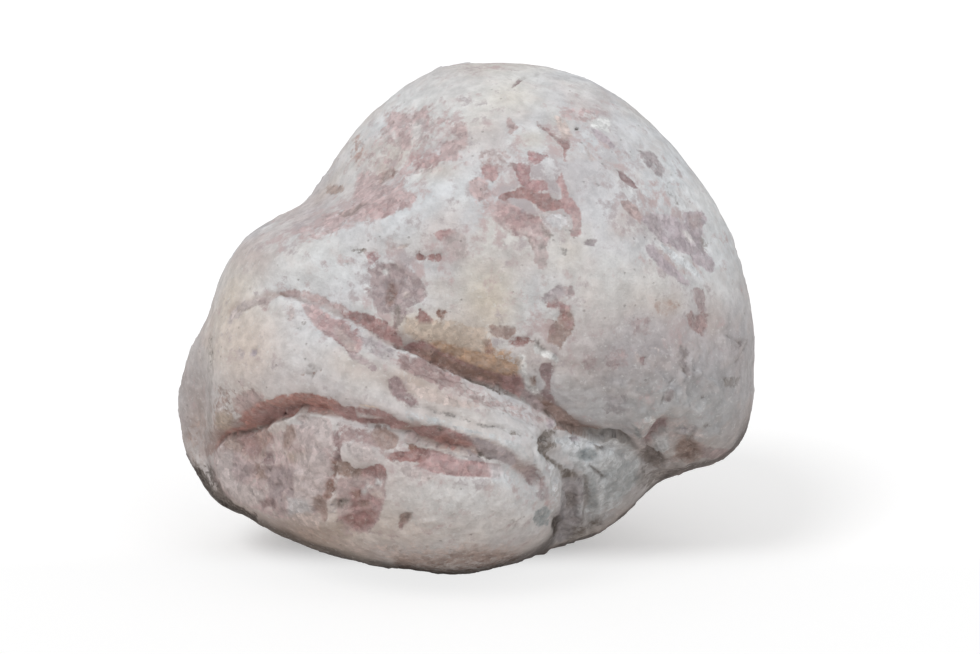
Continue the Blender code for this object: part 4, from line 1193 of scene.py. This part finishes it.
def crust_tones(places, face, front):
    """The crust's own soft colours, laid one by one on the face and by chance elsewhere, and the
    banks over creases, stained and darkened with painted shade.
    """
    colours = np.tile(np.array(CRUST), (len(places), 1))
    for colour, size, low, high, seed, strength in CRUST_DRIFTS:
        colours = blend(colours, colour, eased(low, high, lumps(places, size, seed)) * strength)
    on_face = eased(*FACE_FADE, front)
    for colour, strength, middle, reach, turn in WASHES:
        colours = blend(colours, colour, strength * soft_spot(face, middle, reach, turn) * on_face)
    wander = layered(lumps, places, BANK_WANDER)
    # banks: stain, and painted shade on the side of each crease that turns down into it
    for colour, strength, reach, row in BANKS:
        route = corners_of(row)
        which = near_corners(face, front, route, BANK_MARGIN * reach)
        above = above_route(face[which], route)
        height = reach * (1 + BANK_UNEVENNESS * wander[which])
        share = strength * (1 - eased(*BANK_FADE, above / height)) * eased(*BANK_EDGE, above)
        colours[which] = blend(colours[which], colour, share * on_face[which])
    return colours


def blush_amounts(places, face, front):
    """How much the pink clouds the crust, laid one by one on the face and by chance elsewhere."""
    on_face = eased(*FACE_FADE, front)
    behind = BLUSH_LEVEL_BEHIND + layered(lumps, places, BLUSH_BEHIND)
    laid = strongest_spot(face, BLUSHES, BLUSH_LEVEL_ON_FACE)
    return behind * (1 - on_face) + laid * on_face


def carried_over_stone():
    """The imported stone's own shape, in an even mesh that is finer on the face."""
    node = frame["nodes"]["stone"]
    piece = node.copy()
    piece.data = node.data.copy()
    piece.name = "boulder"
    piece.data.name = "boulder"
    bpy.context.collection.objects.link(piece)
    only(piece)
    bpy.ops.object.parent_clear(type="CLEAR_KEEP_TRANSFORM")
    bpy.ops.object.transform_apply(location=True, rotation=True, scale=True)
    bpy.ops.object.mode_set(mode="EDIT")
    bpy.ops.mesh.select_all(action="SELECT")
    bpy.ops.mesh.remove_doubles(threshold=MERGE)
    bpy.ops.object.mode_set(mode="OBJECT")
    apply_modifier(piece, "REMESH", mode="VOXEL", voxel_size=VOXEL)
    apply_modifier(piece, "SMOOTH", factor=SMOOTHING, iterations=ROUNDS_BEFORE_SPLIT)
    refine_face(piece)
    apply_modifier(piece, "SMOOTH", factor=SMOOTHING, iterations=ROUNDS_AFTER_SPLIT)
    return piece


def refine_face(piece):
    """Splits the faces that look towards the eye, where the finer marks are."""
    turned = facing(vertex_places(piece), vertex_normals(piece)) > FINE_FACING
    only(piece)
    bpy.ops.object.mode_set(mode="EDIT")
    bpy.ops.mesh.select_mode(type="FACE")
    bpy.ops.mesh.select_all(action="DESELECT")
    bpy.ops.object.mode_set(mode="OBJECT")
    for face in piece.data.polygons:
        face.select = all(turned[i] for i in face.vertices)
    bpy.ops.object.mode_set(mode="EDIT")
    bpy.ops.mesh.subdivide(number_cuts=1)
    bpy.ops.object.mode_set(mode="OBJECT")


def brokenness_of(places, face, on_face):
    """How far broken rock stands out, laid one by one on the face and by chance behind it."""
    crag = CRAG_LEVEL_BEHIND + layered(lumps, places, CRAG_BACKGROUND)
    crag = np.maximum(crag * (1 - on_face) + strongest_spot(face, CRAGS, 0) * on_face, 0)
    height, size, seed = CRAG_RIDGES
    broken = layered(facets, places, CRAG_FACETS)
    broken += height * (0.5 - np.abs(lumps(places, size, seed)))
    broken += layered(lumps, places, CRAG_GRAIN)
    return crag * broken


def ledge_drops(places, face, front, on_face):
    """How far the surface drops beside the ledges, in mm."""
    drops = np.zeros(len(places))
    wander = layered(lumps, places, LEDGE_WANDER)
    for drop_above, reach_above, drop_below, reach_below, row in LEDGES:
        route = corners_of(row)
        which = near_corners(face, front, route, max(reach_above, reach_below) + MARK_MARGIN)
        above = above_route(face[which], route) + wander[which]
        upper = drop_above * np.clip(1 - above / reach_above, 0, 1) ** LEDGE_FALL
        lower = drop_below * np.clip(1 + above / reach_below, 0, 1) ** LEDGE_FALL
        drops[which] += np.where(above > 0, upper, lower) * route_ends(face[which], route)
    return drops * on_face


def crack_cuts(places, face, front, on_face):
    """How deep the cracks cut, in mm, and how much each vertex lies in a groove, which gets painted
    shade and dirt.
    """
    cuts = np.zeros(len(places))
    groove = np.zeros(len(places))
    wander = layered(lumps, places, CRACK_WANDER)
    for depth, half_width, row in CRACKS:
        route = corners_of(row)
        which = near_corners(face, front, route, half_width + CRACK_MARGIN)
        away = np.maximum(np.abs(above_route(face[which], route)) + wander[which], 0)
        cut = np.clip(1 - away / half_width, 0, 1) ** CRACK_FALL * on_face[which]
        cuts[which] += depth * cut
        groove[which] = np.maximum(groove[which], cut * min(1, depth))
    return cuts, groove


def carve(places, normals, face, front, bare):
    """Moves the vertices along the surface's own direction to carve the fine relief."""
    on_face = eased(*FACE_FADE, front)
    rise = layered(lumps, places, ROLLING)
    rise += bare * (layered(facets, places, BARE_FACETS) - BARE_DROP)
    brokenness = brokenness_of(places, face, on_face)
    rise += CRAG_HEIGHT * brokenness
    hollowed = on_face * sum(depth * soft_spot(face, *spot) for depth, *spot in HOLLOWS)
    rise -= hollowed
    rise -= ledge_drops(places, face, front, on_face)
    cuts, groove = crack_cuts(places, face, front, on_face)
    rise -= cuts
    rise *= eased(CARVED_FROM[0] * MM, CARVED_FROM[1] * MM, places[:, 2])
    carved = places + normals * rise[:, None] * MM
    carved[:, 2] = np.maximum(carved[:, 2], 0)
    return carved, groove, brokenness, np.clip(hollowed / SHADE_AND_DIRT_DEPTH, 0, MOST_SHADE_AND_DIRT)


def write_attribute(piece, name, values):
    """Keeps a value or a colour for each vertex under that name."""
    mesh = piece.data
    if values.ndim == 1:
        mesh.attributes.new(name, "FLOAT", "POINT").data.foreach_set("value", values.astype("f"))
        return
    values = np.hstack((values, np.ones((len(values), 1))))
    layer = mesh.attributes.new(name, "FLOAT_COLOR", "POINT")
    layer.data.foreach_set("color", values.astype("f").ravel())


class Nodes:
    """Short ways to place and join shader nodes."""

    def __init__(self, tree):
        self.tree = tree

    def add(self, kind, inputs=(), **settings):
        node = self.tree.nodes.new(kind)
        for name, value in settings.items():
            setattr(node, name, value)
        for socket, value in dict(inputs).items():
            self.feed(node.inputs[socket], value)
        return node

    def feed(self, socket, value):
        if isinstance(value, bpy.types.NodeSocket):
            self.tree.links.new(value, socket)
        else:
            socket.default_value = value

    def math(self, operation, first, second=0.0, third=0.0):
        node = self.add("ShaderNodeMath", {0: first, 1: second, 2: third}, operation=operation)
        return node.outputs[0]

    def times(self, first, second):
        return self.math("MULTIPLY", first, second)

    def more(self, base, value, strength):
        """base, plus value times strength."""
        return self.math("MULTIPLY_ADD", value, strength, base)

    def share(self, value, low, high, first=0.0, last=1.0):
        """value's place from low to high, eased, as first to last."""
        inputs = {"Value": value, "From Min": low, "From Max": high,
                  "To Min": first, "To Max": last}
        node = self.add("ShaderNodeMapRange", inputs, interpolation_type="SMOOTHSTEP")
        return node.outputs["Result"]

    def mix(self, share, first, second):
        """Two colours mixed, all the first at a share of 0 and all the second at 1.

        A Mix node keeps its colours in inputs 6 and 7, and gives their mix in output 2.
        """
        node = self.add("ShaderNodeMix", data_type="RGBA")
        self.feed(node.inputs["Factor"], share)
        self.feed(node.inputs[6], first)
        self.feed(node.inputs[7], second)
        return node.outputs[2]

    def vector(self, operation, inputs):
        return self.add("ShaderNodeVectorMath", inputs, operation=operation).outputs[0]

    def brighter(self, colour, amount):
        """colour times amount, where amount changes over the surface."""
        return self.vector("SCALE", {0: colour, "Scale": amount})

    def attribute(self, name):
        return self.add("ShaderNodeAttribute", attribute_name=name, attribute_type="GEOMETRY")

    def noise(self, place, size, detail, roughness):
        """Fine noise from 0 to 1, with lumps of about that size in mm."""
        inputs = {"Vector": place, "Scale": 1 / MM / size, "Detail": detail, "Roughness": roughness}
        return self.add("ShaderNodeTexNoise", inputs).outputs["Fac"]

    def cells(self, place, size):
        """Cells of about that size in mm."""
        return self.add("ShaderNodeTexVoronoi", {"Vector": place, "Scale": 1 / MM / size})

    def draws(self, place, size):
        """Three values drawn for each cell of about that size in mm."""
        colour = self.cells(place, size).outputs["Color"]
        return self.add("ShaderNodeSeparateColor", {0: colour}).outputs

    def centred(self, value):
        """A value of 0 to 1 as one of -0.5 to 0.5."""
        return self.math("SUBTRACT", value, 0.5)


def rgba(colour):
    return colour + (1.0,)


def pushed_about(n, place):
    """The place moved a little each way, so that cells lose their straight edges."""
    warp = n.add("ShaderNodeTexNoise",
                 {"Vector": place, "Scale": WARP_SCALE, "Detail": WARP_DETAIL})
    push = n.vector("SUBTRACT", {0: warp.outputs["Color"], 1: (0.5, 0.5, 0.5)})
    return n.vector("ADD", {0: place, 1: n.brighter(push, WARP_REACH * MM)})


def crust_paint(n, place, mottle, drift):
    """The chalky crust: soft mottling, paler crumbs and warmer patches."""
    crust = n.attribute("crust_tone").outputs["Color"]
    crust = n.brighter(crust, n.share(drift, *CRUST_BY_DRIFT))
    crust = n.brighter(crust, n.share(mottle, *CRUST_BY_MOTTLE))
    dust = n.share(n.noise(place, *CHALK_DUST), *CHALK_SHOWS)
    crust = n.mix(n.times(dust, CHALK_STRENGTH), crust, rgba(WHITE))
    warm = n.share(n.noise(place, *WARMTH), *WARMTH_SHOWS)
    return n.mix(n.times(warm, WARMTH_STRENGTH), crust, rgba(PINK_CREAM))


def blushed(n, crust, worn_place, drift, chips):
    """The crust with pink clouds where it thins."""
    level = n.noise(worn_place, *CLOUDS)
    level = n.math("ADD", level, n.times(n.attribute("blush").outputs["Fac"], BLUSH_LIFT))
    level = n.more(level, n.centred(chips[0]), BLUSH_CHIPS)
    pink = n.mix(n.share(drift, *LILAC_BY_DRIFT), rgba(PINK), rgba(LILAC))
    return n.mix(n.times(n.share(level, *BLUSH_SHOWS), BLUSH_STRENGTH), crust, pink)


def quartz_paint(n, mottle, chips, splinters):
    """Quartz and stained patches, where each grain catches the light a little differently."""
    patch = n.attribute("patch_tone").outputs["Color"]
    patch = n.brighter(patch, n.share(chips[2], *PATCH_BY_CHIP))
    patch = n.brighter(patch, n.share(splinters[2], *PATCH_BY_SPLINTER))
    return n.brighter(patch, n.share(mottle, *PATCH_BY_MOTTLE))


def patches_shown(n, place, chips, splinters):
    """Where the patches show, with broken edges and a thin haze of crust over them."""
    ragged = n.times(n.centred(n.noise(place, *BROKEN_EDGE)), EDGE_NOISE)
    ragged = n.more(ragged, n.centred(chips[0]), EDGE_CHIPS)
    ragged = n.more(ragged, n.centred(splinters[0]), EDGE_SPLINTERS)
    cover = n.more(n.attribute("patch_cover").outputs["Fac"], ragged, EDGE_RAGGEDNESS)
    haze = n.share(n.noise(place, *HAZE), *PATCH_BY_HAZE)
    return n.times(n.share(cover, *PATCH_SHOWS), haze)


def dark_specks(n, place):
    """Small round specks, in some of the cells."""
    speck_cells = n.cells(place, SPECKS)
    pick = n.add("ShaderNodeSeparateColor", {0: speck_cells.outputs["Color"]}).outputs[0]
    spot = n.share(speck_cells.outputs["Distance"], *SPECK_EDGE)
    return n.times(n.share(pick, *SPECK_PICK), spot)


def quartz_finish():
    """Chalky worn crust over pink quartz, which shows where the crust is thin or gone."""
    material = bpy.data.materials.new("worn_rose_quartz")
    material.use_nodes = True
    material.node_tree.nodes.clear()
    n = Nodes(material.node_tree)
    place = n.add("ShaderNodeTexCoord").outputs["Object"]
    worn_place = pushed_about(n, place)
    chips = n.draws(worn_place, CHIPS)
    splinters = n.draws(worn_place, SPLINTERS)
    drift = n.noise(place, *DRIFT)
    mottle = n.noise(place, *MOTTLE)

    crust = blushed(n, crust_paint(n, place, mottle, drift), worn_place, drift, chips)
    shown = patches_shown(n, place, chips, splinters)
    colour = n.mix(shown, crust, quartz_paint(n, mottle, chips, splinters))

    # crumbs of crust left on the bare quartz, dark specks, and painted shade and dirt in the cracks
    bare = n.times(shown, n.attribute("bare").outputs["Fac"])
    crumb = n.times(n.share(n.noise(worn_place, *CRUMBS), *CRUMB_SHOWS), bare)
    colour = n.mix(n.times(crumb, CRUMB_STRENGTH), colour, rgba(SHELL))
    speck = dark_specks(n, place)
    colour = n.mix(n.times(speck, SPECK_STRENGTH), colour, rgba(SHADOW))
    groove = n.share(n.attribute("groove").outputs["Fac"], *GROOVE_SHADE_AND_DIRT_SHOWS)
    colour = n.mix(n.times(groove, GROOVE_STRENGTH), colour, rgba(SHADOW))

    # bare quartz is smoother than the crust and lies a little lower
    rough = n.more(n.share(mottle, *ROUGH_BY_MOTTLE), bare, -BARE_SMOOTHNESS)
    height = n.more(n.times(n.noise(place, *GRIT), GRIT_HEIGHT), mottle, MOTTLE_HEIGHT)
    height = n.more(height, n.times(chips[2], bare), CHIP_HEIGHT)
    height = n.more(height, bare, -BARE_DEPRESSION)
    height = n.more(height, speck, -SPECK_DEPRESSION)
    bump = n.add("ShaderNodeBump", {
        "Height": height, "Distance": BUMP_HEIGHT * MM, "Strength": 1.0})

    shader = n.add("ShaderNodeBsdfPrincipled", {
        "Base Color": colour, "Roughness": rough, "Normal": bump.outputs["Normal"],
        "IOR": STONE_IOR, "Specular IOR Level": STONE_GLOSS})
    n.add("ShaderNodeOutputMaterial", {"Surface": shader.outputs[0]})
    return material


def build_boulder():
    piece = carried_over_stone()
    places = vertex_places(piece)
    normals = vertex_normals(piece)
    face = on_the_face(places)
    front = facing(places, normals)

    crust = crust_tones(places, face, front)
    patchwork = Patchwork(crust)
    lay_on_face(patchwork, places, face, front)
    lay_round_the_back(patchwork, places, normals, front)
    bare = patchwork.bare
    carved, groove, brokenness, shade_and_dirt = carve(places, normals, face, front, bare)

    lean = normals[:, 2]
    # painted shade on surfaces that face down near the rim, strongest on the side the eye sees
    under = eased(*UNDER_LEAN, lean) * eased(*UNDER_FACING, front)
    blush = blush_amounts(places, face, front) - LESS_BLUSH_WHERE_BARE * bare - under
    blush -= LESS_BLUSH_WHERE_BROKEN * np.maximum(brokenness, 0)
    under *= UNDER_STRENGTH[0] + UNDER_STRENGTH[1] * eased(*UNDER_BEHIND, front)
    # brown towards the underside, partly dirt and partly painted shade
    worn = SHADE_AND_DIRT_BELOW_STRENGTH * eased(*SHADE_AND_DIRT_BELOW_LEAN, lean) * eased(*SHADE_AND_DIRT_BELOW_FACING, front)
    # hollows are darkened towards SHADOW with painted shade and dirt
    crust = blend(blend(crust, SHADOW, shade_and_dirt), UMBER, worn)

    # crust and patches alike take the painted shade on the underside
    write_attribute(piece, "crust_tone", blend(crust, UNDERSIDE_SHADE, under))
    write_attribute(piece, "patch_tone", blend(patchwork.tone, UNDERSIDE_SHADE, under))
    write_attribute(piece, "patch_cover", patchwork.cover)
    write_attribute(piece, "bare", bare)
    write_attribute(piece, "blush", blush)
    write_attribute(piece, "groove", groove)
    move_vertices(piece, carved)
    only(piece)
    bpy.ops.object.shade_smooth()
    piece.data.materials.clear()
    piece.data.materials.append(quartz_finish())
    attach(piece, "root")
    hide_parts("stone")


def floor_paint():
    """Plain white. What the floor throws back on the stone is held down, as by a matt flag."""
    material = bpy.data.materials.new("floor_paint")
    material.use_nodes = True
    n = Nodes(material.node_tree)
    shader = material.node_tree.nodes["Principled BSDF"]
    seen = n.add("ShaderNodeLightPath").outputs["Is Camera Ray"]
    place = n.add("ShaderNodeSeparateXYZ", {0: n.add("ShaderNodeTexCoord").outputs["Object"]})
    front, back = FLOOR_FRONT[0] * MM, FLOOR_FRONT[1] * MM
    behind = n.share(place.outputs["Y"], front, back)
    paint = n.mix(behind, rgba(FLOOR_SEEN_IN_FRONT), rgba(FLOOR_SEEN))
    lift = n.share(place.outputs["Y"], front, back, FLOOR_LIFT_IN_FRONT, FLOOR_LIFT)
    n.feed(shader.inputs["Base Color"], n.mix(seen, rgba(FLOOR_BOUNCE), paint))
    shader.inputs["Roughness"].default_value = 1.0
    shader.inputs["Specular IOR Level"].default_value = 0.0
    shader.inputs["Emission Color"].default_value = (1, 1, 1, 1)
    n.feed(shader.inputs["Emission Strength"], n.times(seen, lift))
    return material


def overhead_light():
    """A world that is brightest overhead, as under a wide soft box, and white to the camera."""
    world = bpy.data.worlds.new("studio")
    world.use_nodes = True
    n = Nodes(world.node_tree)
    background = world.node_tree.nodes["Background"]
    seen = n.add("ShaderNodeLightPath").outputs["Is Camera Ray"]
    direction = n.add("ShaderNodeTexCoord").outputs["Generated"]
    height = n.add("ShaderNodeSeparateXYZ", {0: direction}).outputs["Z"]
    glow = n.share(height, *GLOW_HEIGHTS, HORIZON_GLOW, OVERHEAD_GLOW)
    strength = n.add("ShaderNodeMix", {0: seen, 2: glow, 3: 1.0}).outputs[0]
    background.inputs["Color"].default_value = (1, 1, 1, 1)
    n.feed(background.inputs["Strength"], strength)
    return world


def add_sun(name, turn, softness, strength):
    light = bpy.data.lights.new(name, "SUN")
    light.angle = math.radians(softness)
    light.energy = strength
    lamp = bpy.data.objects.new(name, light)
    lamp.rotation_euler = [math.radians(angle) for angle in turn]
    bpy.context.collection.objects.link(lamp)


def add_camera():
    """A camera at the eye, as the marks on the face are laid out from there."""
    camera_data = bpy.data.cameras.new("camera")
    camera_data.lens = LENS
    camera = bpy.data.objects.new("camera", camera_data)
    bpy.context.collection.objects.link(camera)
    camera.location = EYE
    camera.rotation_euler = (math.pi / 2 - EYE_DROP, 0, 0)
    bpy.context.scene.camera = camera


def set_stage():
    bpy.ops.object.select_all(action="DESELECT")
    bpy.ops.mesh.primitive_plane_add(size=FLOOR_SIZE, location=(0, 0, 0))
    floor = bpy.context.active_object
    floor.name = "studio_floor"
    floor.data.materials.append(floor_paint())
    bpy.context.scene.world = overhead_light()
    add_sun("key", KEY_TURN, KEY_SOFTNESS, KEY_STRENGTH)
    add_sun("fill", FILL_TURN, FILL_SOFTNESS, FILL_STRENGTH)
    bpy.context.scene.view_settings.view_transform = "Standard"
    add_camera()


build_boulder()
set_stage()
